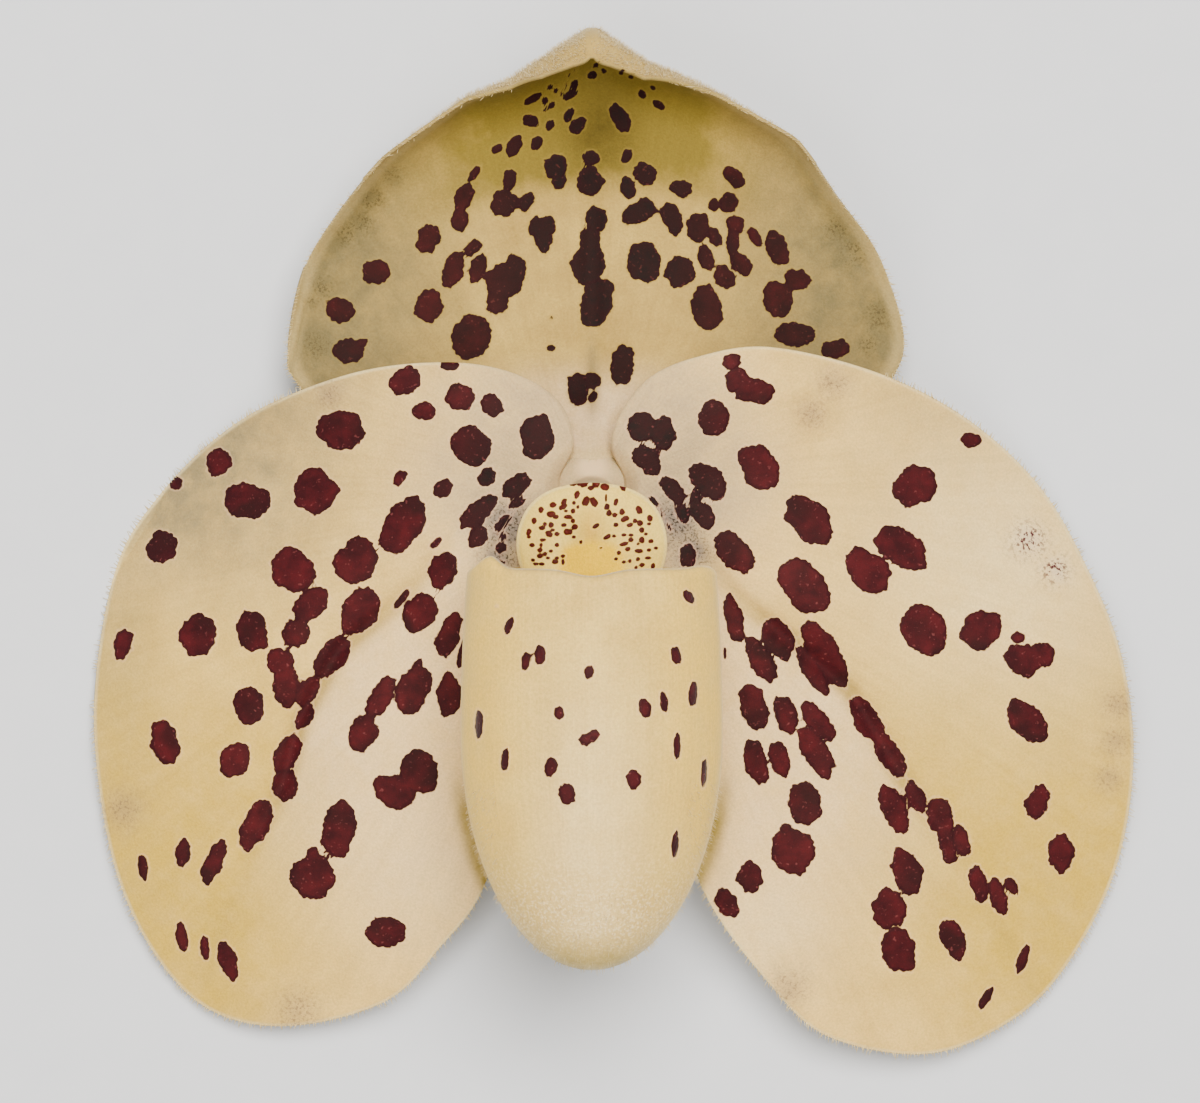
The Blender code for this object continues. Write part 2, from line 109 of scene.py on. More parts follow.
# Creases and spots are placed where the photograph shows them, in its pixels: a crease as a line of
# points, a spot as its middle, length, width and tilt in degrees from the right, turning upwards
PETAL_CREASE = {
    "right": (
        (690, 540), (740, 600), (790, 640), (850, 690), (880, 740), (910, 790), (960, 850), (1040, 1000),
    ),
    "left": ((445, 545), (400, 600), (340, 650), (300, 720), (285, 780), (260, 830), (200, 980)),
}
PETAL_SPOTS = {
    "left": (
        (341, 430, 48, 39, -5), (219, 462, 28, 25, 60), (176, 483, 13, 13, 0), (247, 501, 46, 36, -5),
        (315, 491, 46, 42, 80), (336, 490, 10, 7, 0), (162, 547, 33, 30, 45), (293, 570, 46, 42, -50),
        (356, 561, 48, 41, 60), (405, 381, 33, 26, 40), (424, 411, 24, 18, -10), (460, 397, 30, 27, 30),
        (492, 406, 24, 21, -60), (471, 446, 43, 37, -50), (537, 437, 46, 33, 80), (548, 441, 14, 14, 0),
        (450, 365, 19, 11, -5), (400, 478, 18, 12, 50), (443, 488, 21, 18, 45), (487, 477, 21, 16, 50),
        (516, 486, 34, 19, 40), (478, 512, 46, 21, 42), (478, 537, 23, 18, 60), (403, 525, 62, 38, 55),
        (436, 543, 16, 7, 45), (443, 570, 38, 28, 65), (402, 599, 26, 8, 55), (123, 644, 31, 18, 75),
        (198, 635, 42, 37, 70), (252, 631, 42, 31, 100), (311, 604, 42, 28, 50), (296, 633, 30, 26, 50),
        (360, 611, 50, 36, 60), (332, 657, 48, 27, 55), (249, 706, 39, 30, 90), (280, 661, 27, 27, 0),
        (286, 687, 42, 27, 95), (307, 692, 34, 20, 60), (305, 716, 28, 16, 65), (165, 743, 44, 28, 105),
        (235, 760, 37, 30, 65), (287, 754, 40, 24, 60), (285, 785, 32, 26, 80), (381, 697, 46, 22, 60),
        (363, 733, 40, 27, 70), (256, 825, 54, 27, 62), (339, 829, 58, 33, 80), (183, 853, 27, 15, 85),
        (214, 862, 46, 18, 68), (208, 872, 16, 14, 0), (420, 613, 44, 31, 60), (449, 635, 45, 22, 70),
        (463, 652, 34, 9, 75), (413, 690, 50, 34, 65), (417, 670, 24, 12, 70), (449, 695, 43, 25, 85),
        (419, 772, 46, 38, 110), (394, 792, 42, 32, -30), (313, 877, 44, 44, 0), (313, 856, 20, 14, 90),
        (143, 867, 26, 10, 95), (182, 937, 30, 12, 100), (205, 948, 25, 9, 95), (228, 961, 41, 18, 110),
        (386, 932, 40, 31, 0), (517, 503, 19, 9, 20), (506, 519, 13, 8, 15), (499, 527, 11, 10, 0),
        (501, 548, 12, 10, 0), (503, 537, 9, 6, 0), (502, 563, 8, 5, 0),
    ),
    "right": (
        (732, 362, 18, 17, 0), (737, 380, 27, 24, 60), (754, 391, 40, 26, -5), (714, 418, 36, 32, 90),
        (642, 427, 30, 30, 45), (663, 433, 34, 26, 100), (647, 460, 35, 23, 130), (708, 481, 44, 30, 135),
        (759, 467, 50, 36, 125), (673, 490, 34, 17, 135), (682, 514, 20, 13, 110), (695, 497, 12, 12, 0),
        (702, 514, 33, 20, 125), (688, 556, 24, 16, 90), (654, 501, 14, 7, -45), (662, 515, 5, 5, 0),
        (669, 527, 10, 4, -60), (734, 552, 50, 29, 130), (810, 520, 56, 38, 130), (790, 517, 14, 12, 0),
        (804, 586, 66, 40, 130), (868, 571, 52, 38, 130), (971, 440, 20, 15, 0), (915, 486, 46, 40, 30),
        (901, 548, 58, 36, 150), (924, 630, 54, 44, 110), (981, 630, 43, 38, 60), (1024, 660, 38, 32, -30),
        (1018, 638, 14, 12, 0), (1041, 655, 28, 24, 0), (734, 619, 50, 18, 105), (761, 660, 52, 22, 120),
        (778, 639, 44, 30, 120), (825, 654, 76, 30, 123), (813, 671, 56, 18, 120), (754, 707, 46, 28, 105),
        (786, 715, 38, 24, 105), (818, 722, 48, 22, 130), (816, 752, 58, 26, 120), (866, 719, 48, 26, 120),
        (890, 755, 52, 22, 123), (756, 762, 44, 24, 105), (780, 759, 36, 21, 105), (805, 804, 43, 34, 100),
        (894, 809, 52, 24, 115), (793, 851, 46, 44, 90), (786, 829, 12, 12, 0), (750, 877, 30, 25, 100),
        (727, 903, 31, 22, 125), (916, 797, 36, 17, 115), (940, 816, 40, 26, 115), (946, 838, 44, 16, 105),
        (950, 857, 15, 14, 0), (961, 841, 32, 18, 105), (907, 872, 50, 28, 110), (889, 909, 39, 35, 90),
        (899, 950, 48, 33, 110), (953, 939, 41, 24, 108), (979, 884, 37, 18, 105), (998, 896, 39, 17, 108),
        (1012, 886, 20, 12, 115), (1027, 721, 50, 32, 135), (1038, 802, 36, 22, 70),
        (1061, 853, 39, 25, 95), (1023, 959, 30, 10, 70), (986, 998, 25, 9, 58), (973, 1044, 8, 5, 0),
        (725, 653, 12, 3, 90),
    ),
}
# Pools of painted light, where the cream is drawn brighter: middle and width
PETAL_LIGHT_POOLS = {"right": ((1010, 560, 260), (760, 930, 120)), "left": ((430, 860, 150),)}
# Faint grey smudges under the skin, where a spot didn't form: middle and width
PETAL_SMUDGES = {
    "left": ((123, 810, 40), (298, 1011, 44), (330, 395, 26)),
    "right": (
        (834, 384, 32), (811, 414, 30), (789, 987, 40), (1118, 705, 30), (1116, 742, 30), (1110, 778, 26),
    ),
}
# Spots that hardly formed: only a sprinkling of their pigment shows
PETAL_GHOSTS = {"left": (), "right": ((1029, 541, 34), (1055, 570, 28))}
# The pouch as the camera sees it over the petals: its half width, and its round end's middle and length
POUCH_SEEN = (9.4, -17.5, 17.1)
# The shaded, speckled hollows beside the column: middle and width
PETAL_HOLLOWS = {"left": ((505, 526, 56), (500, 556, 40)), "right": ((676, 520, 58), (692, 552, 40))}


def smooth_step(start, end, value):
    """0 before start, 1 after end, and a smooth rise between them."""
    share = np.clip((value - start) / (end - start), 0.0, 1.0)
    return share * share * (3 - 2 * share)


def photo_place(x, y):
    """A pixel of the photograph as a place in mm from the heart, on the plane of its scale."""
    return np.array(((x - PHOTO_HEART[0]) * PIXEL, (PHOTO_HEART[1] - y) * PIXEL))


def as_seen(points):
    """Where the camera sees points, in mm from the heart, on the plane of the photograph's scale."""
    eye = np.array(EYE) - HEART[:2]
    nearness = EYE_DISTANCE / (EYE_DISTANCE + FACE_HEIGHT - points[:, 2])
    return eye + (points[:, :2] - eye) * nearness[:, None]


def stand(plan, height):
    """Where points of these heights stand so that the camera sees them at their plan places."""
    eye = np.array(EYE) - HEART[:2]
    nearness = (EYE_DISTANCE + FACE_HEIGHT - height) / EYE_DISTANCE
    return np.column_stack((eye + (plan - eye) * nearness[:, None], height))


def spot_layers(places, spots, seed):
    """How far in mm each place is outside the nearest spot's uneven edge, and how ragged that edge is."""
    dice = np.random.default_rng(seed)
    nearest = np.full(len(places), 9.0)
    ragged = np.ones(len(places))
    for x, y, length, width, tilt in spots:
        offset = places - photo_place(x, y)
        turn = math.radians(tilt)
        half_length = length * PIXEL / 2
        half_width = width * PIXEL / 2
        along = (offset[:, 0] * math.cos(turn) + offset[:, 1] * math.sin(turn)) / half_length
        across = (offset[:, 1] * math.cos(turn) - offset[:, 0] * math.sin(turn)) / half_width
        reach = np.hypot(along, across) + 1e-6
        bearing = np.arctan2(across, along)
        edge = 1.0
        for lobes in (2, 3, 4, 5, 7):
            swing = dice.uniform(0.01, 0.045)
            edge = edge + swing * np.cos(lobes * bearing + dice.uniform(0, 2 * math.pi))
        steepness = np.hypot(along / half_length, across / half_width) / reach
        distance = (reach - edge) / steepness
        ragged = np.where(distance < nearest, min(1.0, half_width / 0.75), ragged)
        nearest = np.minimum(nearest, distance)
    return {"spot": nearest, "ragged": ragged}


def glow(places, patches):
    """1 in the middle of each patch, fading to 0 round it. The photograph gives its middle and width."""
    total = np.zeros(len(places))
    for x, y, width in patches:
        offset = places - photo_place(x, y)
        total = np.maximum(total, np.exp(-(offset**2).sum(axis=1) / (width * PIXEL / 2) ** 2))
    return total


def pouch_shadow_band(places):
    """1 in the olive band of painted shadow beside the pouch's lower sides, fading to 0 away from it."""
    half_width, middle, length = POUCH_SEEN
    down = np.clip((middle - places[:, 1]) / length, 0, 1)
    beside = abs(places[:, 0]) - half_width * np.sqrt(1 - down**2)
    return smooth_step(1.5, 0.3, beside) * smooth_step(-19, -24, places[:, 1])


def crease_offset(places, line):
    """Each place's distance from a crease, above 0 on the pouch's side, and how far along it is, 0 to 1."""
    points = np.array([photo_place(x, y) for x, y in line])
    nearest = np.full(len(places), 99.0)
    side = np.zeros(len(places))
    progress = np.zeros(len(places))
    for index in range(len(points) - 1):
        step = points[index + 1] - points[index]
        offset = places - points[index]
        share = np.clip(offset @ step / (step @ step), 0, 1)
        distance = np.linalg.norm(offset - share[:, None] * step, axis=1)
        closer = distance < nearest
        nearest = np.where(closer, distance, nearest)
        side = np.where(closer, np.sign(step[0] * offset[:, 1] - step[1] * offset[:, 0]), side)
        progress = np.where(closer, (index + share) / (len(points) - 1), progress)
    return nearest * side * np.sign(points[-1][0]) * -1, progress


def relief(points, width, seed):
    """A gentle unevenness from about -1 to 1, whose swells are width mm across."""
    shift = Vector((seed * 7.3, seed * 3.1, seed * 1.7))
    return np.array([noise.noise(Vector((x, y, 0)) / width + shift) for x, y in points[:, :2]])


class Outline:
    """A closed smooth line through a few points, which is filled from its centre."""

    SAMPLES = 24
    CROWDING = 1.25

    def __init__(self, centre, points):
        self.centre = np.array(centre)
        ring = np.array(points)
        before, after, beyond = (np.roll(ring, shift, axis=0) for shift in (1, -1, -2))
        line = []
        for share in np.arange(self.SAMPLES) / self.SAMPLES:
            line.append(
                0.5 * (
                    2 * ring
                    + (after - before) * share
                    + (2 * before - 5 * ring + 4 * after - beyond) * share**2
                    + (3 * ring - before - 3 * after + beyond) * share**3
                )
            )
        spokes = np.concatenate(line) - self.centre
        bearings = np.arctan2(spokes[:, 1], spokes[:, 0])
        order = np.argsort(bearings)
        self.bearings = bearings[order]
        self.reaches = np.hypot(spokes[:, 0], spokes[:, 1])[order]

    def at(self, bearing, share):
        """Plan points for bearings and shares of the way out to the margin, and their mm to the margin."""
        reach = np.interp(bearing, self.bearings, self.reaches, period=2 * math.pi)
        ways = np.column_stack((np.cos(bearing), np.sin(bearing)))
        return self.centre + (share * reach)[:, None] * ways, (1 - share) * reach

    def fill(self, sheet):
        """Plan points for a square sheet from -1 to 1 that is rounded to a disc, closer near the margin."""
        u = sheet[:, 0] * np.sqrt(1 - sheet[:, 1] ** 2 / 2)
        v = sheet[:, 1] * np.sqrt(1 - sheet[:, 0] ** 2 / 2)
        share = 1 - (1 - np.minimum(np.hypot(u, v), 1.0)) ** self.CROWDING
        return self.at(np.arctan2(v, u), share)


def petal_surface(side):
    """A petal arches back from the heart, most at its outer shoulder, and is creased along its midrib."""
    turn = 1 if side == "right" else -1

    def surface(plan, margin):
        x, y = plan.T
        distance = np.hypot(x, y)
        bearing = np.degrees(np.arctan2(y, turn * x))
        shoulder = np.exp(-(((bearing - PETAL_SHOULDER_BEARING) / PETAL_SHOULDER_SPREAD) ** 2))
        droop = PETAL_DROOP + PETAL_SHOULDER_DROOP * shoulder
        height = PETAL_BASE_HEIGHT - droop * (distance / PETAL_REACH[side]) ** PETAL_DROOP_POWER
        offset, progress = crease_offset(plan, PETAL_CREASE[side])
        depth = np.sin(math.pi * np.clip(progress / 0.9, 0.02, 0.98)) ** 0.6
        height -= depth * (0.8 * np.exp(-((offset / 2.4) ** 2)) + 0.4 * np.exp(-((offset / 0.55) ** 2)))
        wave = np.cos(PETAL_WAVES_ROUND * np.radians(bearing) + 0.9)
        height += PETAL_WAVE * wave * smooth_step(0.55, 1.05, distance / PETAL_REACH[side])
        height += 0.34 * relief(plan, 7.0, 1) * smooth_step(2, 9, distance)
        height -= 0.16 * (1 - np.clip(margin / 0.35, 0, 1)) ** 2 + 1.3 * smooth_step(3.6, 1.6, distance)
        return stand(plan, np.maximum(height, 0.05))

    return surface


BLADE_CELLS = 205


def write_layers(bm, values):
    """Keeps layers of numbers on a mesh for its material to read. Its veins are pairs of numbers."""
    for key, column in values.items():
        kind = bm.verts.layers.float_vector if key == "veins" else bm.verts.layers.float
        layer = kind.new(key)
        for vert, value in zip(bm.verts, column):
            vert[layer] = (*value, 0.0) if key == "veins" else value


def blade_mesh(name, outline, surface, cells, thickness, layers, rim=0.3):
    """A leaf-like sheet cut to its outline and curved, with layers of numbers that its material reads."""
    bm = bmesh.new()
    bmesh.ops.create_grid(bm, x_segments=cells, y_segments=cells, size=1.0)
    plan, margin = outline.fill(np.array([vert.co[:2] for vert in bm.verts], float))
    points = surface(plan, margin)
    write_layers(bm, {"rim": smooth_step(rim, 0.3 * rim, margin), **layers(plan, points)})
    depth = bm.verts.layers.deform.verify()
    full = np.minimum(0.3 + 0.7 * smooth_step(0.0, 1.6, margin), np.clip(points[:, 2] / thickness, 0, 1))
    for vert, point, fullness in zip(bm.verts, points, full):
        vert.co = (point + HEART) * MM
        vert[depth][0] = fullness
    return mesh_from(bm, name)


def mesh_from(bm, name):
    mesh = bpy.data.meshes.new(name)
    for face in bm.faces:
        face.smooth = True
    bm.to_mesh(mesh)
    bm.free()
    return mesh


def piece_from(mesh, *finishes):
    piece = bpy.data.objects.new(mesh.name, mesh)
    for finish in finishes:
        mesh.materials.append(finish)
    bpy.context.scene.collection.objects.link(piece)
    return piece


def thicken(piece, thickness):
    """Gives a blade its thickness, backwards from its face, with its second finish on the back."""
    piece.vertex_groups.new(name="depth")
    solid = piece.modifiers.new("thickness", "SOLIDIFY")
    solid.thickness = thickness * MM
    solid.offset = -1.0
    solid.vertex_group = "depth"
    solid.material_offset = 1
    solid.material_offset_rim = 0


def linear(hex_colour):
    """An sRGB hex colour as linear red, green, blue and alpha."""
    parts = [int(hex_colour[at:at + 2], 16) / 255 for at in (1, 3, 5)]
    return (*(part / 12.92 if part <= 0.04045 else ((part + 0.055) / 1.055) ** 2.4 for part in parts), 1.0)


def add_node(tree, kind, sockets=None, **settings):
    """Adds a node with its settings, and gives its sockets a value or another node's output."""
    made = tree.nodes.new("ShaderNode" + kind)
    for key, value in settings.items():
        setattr(made, key, value)
    for key, value in (sockets or {}).items():
        if isinstance(value, bpy.types.NodeSocket):
            tree.links.new(value, made.inputs[key])
        else:
            made.inputs[key].default_value = value
    return made


def span(value, low, high, least=0.0, most=1.0):
    """What a Map Range node needs to turn low to high of a value into least to most."""
    return {"Value": value, "From Min": low, "From Max": high, "To Min": least, "To Max": most}


# How far the skin's cells, veins and spots stand up, in mm
CELL_RELIEF = 0.022
VEIN_RELIEF = 0.02
SPOT_RELIEF = 0.05


def tissue(
    name, ground, washes, spot=None, spot_strength=1.0, roughness=0.5, grain=0.16, softness=0.12, sheen=0.05
):
    """Living petal tissue: a waxy skin of tiny domed cells over pale flesh, with pigment, painted shade and
    painted light in patches.
    """
    material = bpy.data.materials.new(name)
    material.use_nodes = True
    tree = material.node_tree
    shader = tree.nodes["Principled BSDF"]
    place = add_node(tree, "TexCoord").outputs["Object"]

    # Blotches 4 mm across vary the depth of the flesh colour
    blotch = {"Vector": place, "Scale": 1 / 0.004, "Detail": 4.0, "Roughness": 0.6}
    blotch_fac = add_node(tree, "TexNoise", blotch).outputs["Fac"]
    blotch_tone = add_node(tree, "MapRange", span(blotch_fac, 0.3, 0.7)).outputs[0]
    flesh = {0: blotch_tone, 6: linear(ground[0]), 7: linear(ground[1])}
    colour = add_node(tree, "Mix", flesh, data_type="RGBA").outputs[2]
    for layer, hex_colour, amount, *grains in washes:
        # A wash is uneven over 2.2 mm, or is a sprinkling of grains of the size given
        size, ends = (grains[0], (0.52, 0.6)) if grains else (2.2, (0.3, 0.7, 0.7, 1.2))
        weight = add_node(tree, "Attribute", attribute_name=layer).outputs["Fac"]
        patches = {"Vector": place, "Scale": 1 / (size * MM), "Detail": 3.0, "Roughness": 0.65}
        patchy = add_node(tree, "TexNoise", patches).outputs["Fac"]
        uneven = add_node(tree, "MapRange", span(patchy, *ends)).outputs[0]
        share = add_node(tree, "Math", {0: weight, 1: uneven}, operation="MULTIPLY").outputs[0]
        dosed = add_node(tree, "Math", {0: share, 1: amount}, operation="MULTIPLY", use_clamp=True).outputs[0]
        washed = {0: dosed, 6: colour, 7: linear(hex_colour)}
        colour = add_node(tree, "Mix", washed, data_type="RGBA").outputs[2]

    # Veins fan out from the heart: the layer holds the bearing in degrees and the distance in mm
    fan = add_node(tree, "Attribute", attribute_name="veins")
    stretched = add_node(tree, "Mapping", {"Vector": fan.outputs["Vector"], "Scale": (0.9, 0.09, 1.0)})
    vein = add_node(
        tree, "TexNoise", {"Vector": stretched.outputs[0], "Scale": 1.0, "Detail": 3.0, "Roughness": 0.5}
    ).outputs["Fac"]
    vein_tone = add_node(tree, "MapRange", span(vein, 0.3, 0.7, 0.94, 1.03)).outputs[0]
    # The skin's cells, 0.05 mm in life and drawn 0.12 to 0.2 mm across so that they show
    cells = add_node(
        tree, "TexNoise", {"Vector": place, "Scale": 1 / (grain * MM), "Detail": 2.0, "Roughness": 0.7}
    ).outputs["Fac"]
    cell_tone = add_node(tree, "MapRange", span(cells, 0.3, 0.7, 0.86, 1.1)).outputs[0]
    tone = add_node(tree, "Math", {0: vein_tone, 1: cell_tone}, operation="MULTIPLY").outputs[0]
    toned = {0: 1.0, 6: colour, 7: tone}
    colour = add_node(tree, "Mix", toned, data_type="RGBA", blend_type="MULTIPLY").outputs[2]
    height = add_node(tree, "Math", {0: cells, 1: CELL_RELIEF}, operation="MULTIPLY").outputs[0]
    height = add_node(tree, "Math", {0: vein, 1: VEIN_RELIEF, 2: height}, operation="MULTIPLY_ADD").outputs[0]

    if spot:
        # A spot's edge is scalloped cell by cell, with teeth 0.42 mm wide, and swells unevenly over 0.9 mm
        distance = add_node(tree, "Attribute", attribute_name="spot").outputs["Fac"]
        ragged = add_node(tree, "Attribute", attribute_name="ragged").outputs["Fac"]
        teeth = add_node(tree, "TexVoronoi", {"Vector": place, "Scale": 1 / 0.00042, "Randomness": 0.85})
        uneven = add_node(tree, "TexNoise", {"Vector": place, "Scale": 1 / 0.0009, "Detail": 2.0})
        edge = -0.3
        for value, amount in ((uneven.outputs["Fac"], 0.32), (teeth.outputs["Distance"], 0.22)):
            edge = add_node(tree, "Math", {0: value, 1: amount, 2: edge}, operation="MULTIPLY_ADD").outputs[0]
        edge = add_node(tree, "Math", {0: edge, 1: ragged, 2: distance}, operation="MULTIPLY_ADD").outputs[0]
        inside, halo, rim = (
            add_node(tree, "MapRange", span(edge, *ends), interpolation_type="SMOOTHSTEP").outputs[0]
            for ends in ((-0.035, 0.035, 1.0, 0.0), (0.0, 0.2, 0.3, 0.0), (-0.34, -0.06, 0.0, 0.65))
        )
        haloed = {0: halo, 6: colour, 7: linear(spot["halo"])}
        colour = add_node(tree, "Mix", haloed, data_type="RGBA").outputs[2]

        # The pigment is unevenly deep, turns grey near the heart and in moods 3.5 mm across, and is darkest
        # at the spot's rim; pale specks of painted highlight glint on single cells
        deep = add_node(
            tree, "TexNoise", {"Vector": place, "Scale": 1 / 0.0016, "Detail": 4.0, "Roughness": 0.6}
        ).outputs["Fac"]
        bright = add_node(tree, "MapRange", span(deep, 0.35, 0.65)).outputs[0]
        mood = add_node(tree, "TexNoise", {"Vector": place, "Scale": 1 / 0.0035, "Detail": 2.0})
        moody = add_node(tree, "MapRange", span(mood.outputs["Fac"], 0.52, 0.66, 0.0, 0.75)).outputs[0]
        near = add_node(tree, "Attribute", attribute_name="near").outputs["Fac"]
        near = add_node(tree, "Math", {0: near, 1: moody}, operation="MAXIMUM").outputs[0]
        streaks = add_node(tree, "MapRange", span(deep, 0.35, 0.6, 0.45, 1.0)).outputs[0]
        greyed = add_node(tree, "Math", {0: near, 1: streaks}, operation="MULTIPLY").outputs[0]
        glint_speck = add_node(tree, "TexNoise", {"Vector": place, "Scale": 1 / 0.00028, "Detail": 1.0})
        glint = add_node(tree, "MapRange", span(glint_speck.outputs["Fac"], 0.66, 0.78, 0.0, 0.4)).outputs[0]
        pigment = linear(spot["deep"])
        for share, shade in ((bright, "bright"), (greyed, "dark"), (rim, "rim"), (glint, "glint_speck")):
            mixed = {0: share, 6: pigment, 7: linear(spot[shade])}
            pigment = add_node(tree, "Mix", mixed, data_type="RGBA").outputs[2]
        shown = add_node(tree, "Math", {0: inside, 1: spot_strength}, operation="MULTIPLY").outputs[0]
        colour = add_node(tree, "Mix", {0: shown, 6: colour, 7: pigment}, data_type="RGBA").outputs[2]
        raised = add_node(tree, "MapRange", span(edge, -0.2, 0.1, SPOT_RELIEF, 0.0)).outputs[0]
        height = add_node(tree, "Math", {0: raised, 1: height}, operation="ADD").outputs[0]
        gloss = {"Value": inside, "To Min": roughness, "To Max": roughness + 0.14}
    else:
        gloss = {"Value": cells, "To Min": roughness - 0.06, "To Max": roughness + 0.06}

    bump = add_node(tree, "Bump", {"Height": height, "Distance": MM, "Strength": 1.0})
    tree.links.new(add_node(tree, "MapRange", gloss).outputs[0], shader.inputs["Roughness"])
    tree.links.new(bump.outputs[0], shader.inputs["Normal"])
    tree.links.new(colour, shader.inputs["Base Color"])
    shader.inputs["IOR"].default_value = 1.42
    shader.inputs["Specular IOR Level"].default_value = 0.14
    shader.inputs["Subsurface Weight"].default_value = softness
    shader.inputs["Subsurface Radius"].default_value = (1.0, 0.55, 0.3)
    shader.inputs["Subsurface Scale"].default_value = 0.6 * MM
    shader.inputs["Sheen Weight"].default_value = sheen
    shader.inputs["Sheen Roughness"].default_value = 0.4
    return material


def hair_finish(name, hex_tip, hex_root):
    """Stiff hairs of clear cells: each reads as a pale glassy thread, a little warmer in the crowd."""
    material = bpy.data.materials.new(name)
    material.use_nodes = True
    tree = material.node_tree
    shader = tree.nodes["Principled BSDF"]
    place = add_node(tree, "TexCoord").outputs["Object"]
    crowd = add_node(tree, "TexNoise", {"Vector": place, "Scale": 1 / 0.0006, "Detail": 2.0}).outputs["Fac"]
    tone = add_node(tree, "MapRange", span(crowd, 0.3, 0.7)).outputs[0]
    colours = {0: tone, 6: linear(hex_root), 7: linear(hex_tip)}
    colour = add_node(tree, "Mix", colours, data_type="RGBA")
    gloss = add_node(tree, "MapRange", {"Value": crowd, "To Min": 0.3, "To Max": 0.5})
    tree.links.new(colour.outputs[2], shader.inputs["Base Color"])
    tree.links.new(gloss.outputs[0], shader.inputs["Roughness"])
    shader.inputs["Subsurface Weight"].default_value = 0.3
    shader.inputs["Subsurface Radius"].default_value = (1.0, 0.9, 0.8)
    shader.inputs["Subsurface Scale"].default_value = 0.2 * MM
    return material


def hair_mesh(name, roots, ways, lengths, girth):
    """Stiff tapered hairs, each a thin closed spike, grown from their roots in mm from the heart."""
    gathered = bmesh.new()
    tuft_size = 300
    for start in range(0, len(roots), tuft_size):
        tuft = bmesh.new()
        for root, way, length in zip(roots[start:][:tuft_size], ways[start:], lengths[start:]):
            lean = Vector(way).to_track_quat("Z", "Y").to_matrix().to_4x4()
            middle = Vector(root + HEART + way * (length / 2 - girth)) * MM
            bmesh.ops.create_cone(
                tuft, cap_ends=True, segments=3, radius1=girth * MM, radius2=0.3 * girth * MM,
                depth=length * MM, matrix=Matrix.Translation(middle) @ lean,
            )
        part = bpy.data.meshes.new("tuft")
        tuft.to_mesh(part)
        tuft.free()
        gathered.from_mesh(part)
        bpy.data.meshes.remove(part)
    return mesh_from(gathered, name)


def unit(ways):
    return ways / np.linalg.norm(ways, axis=1)[:, None]


def above_floor(roots, ways, lengths):
    """Lifts the hairs whose tips would reach below the floor."""
    lifted = ways.copy()
    lifted[:, 2] = np.maximum(ways[:, 2], (0.04 - roots[:, 2]) / lengths)
    return lifted


def fringe(outline, surface, spacing, dice):
    """Roots along a blade's margin and the ways outwards from it, at uneven steps."""
    steps = 3001
    bearings = np.linspace(-math.pi, math.pi, steps)
    outer, inner = (surface(*outline.at(bearings, np.full(steps, share))) for share in (0.997, 0.96))
    run = np.concatenate(([0.0], np.cumsum(np.linalg.norm(np.diff(outer, axis=0), axis=1))))
    stops = np.cumsum(dice.uniform(0.35 * spacing, 1.65 * spacing, int(run[-1] / spacing)))
    pick = np.searchsorted(run, stops[stops < run[-1]])
    return outer[pick], unit(outer - inner)[pick]


# Waxy petal flesh: cream with a lilac flush, yellower outwards, and raised maroon spots with a pale rim
# The spots' pale glint specks are painted highlights
MAROON = {
    "deep": "#2c0912", "bright": "#431019", "rim": "#210610", "dark": "#170c10", "glint_speck": "#7d4248",
    "halo": "#e8bfa6",
}
petal_face = tissue(
    "waxy_petal_face", ("#e4c67e", "#ceb068"),
    (
        # The shoulders' grey is partly painted shade, and the bright patches are painted light
        ("shade", "#8b7f60", 1.0), ("yellow", "#bfa342", 0.9), ("bright", "#e6d09c", 0.8),
        ("lilac", "#dfc598", 0.85),
        # The grey-brown at the heart and in the creases is painted shade
        ("rim", "#f0e2b8", 0.5), ("heart", "#b19d7c", 0.95), ("crease", "#978247", 0.8),
        # The olive band beside the pouch is its painted shadow
        ("smudge", "#8d7a66", 0.5), ("smudge", "#5f4d48", 0.6, 0.22), ("pouch_shadow", "#8d7c3c", 0.9),
        ("hollow", "#7d736c", 1.1), ("hollow", "#1d1717", 1.0, 0.17), ("ghost", "#cfbfae", 0.7),
        ("ghost", "#4a2430", 1.3, 0.3),
    ),
    MAROON,
)
petal_back = tissue(
    "waxy_petal_back", ("#dfc68c", "#d3b87a"), (("yellow", "#d4b66c", 0.6),), MAROON,
    spot_strength=0.28, roughness=0.58,
)
# Glassy hairs: all look white in life, and those in front are drawn cream to show on the pale table
white_hair = hair_finish("glassy_white_hair", "#fbf6ea", "#e9dcc4")
cream_hair = hair_finish("glassy_cream_hair", "#e6d6a6", "#c8b07a")

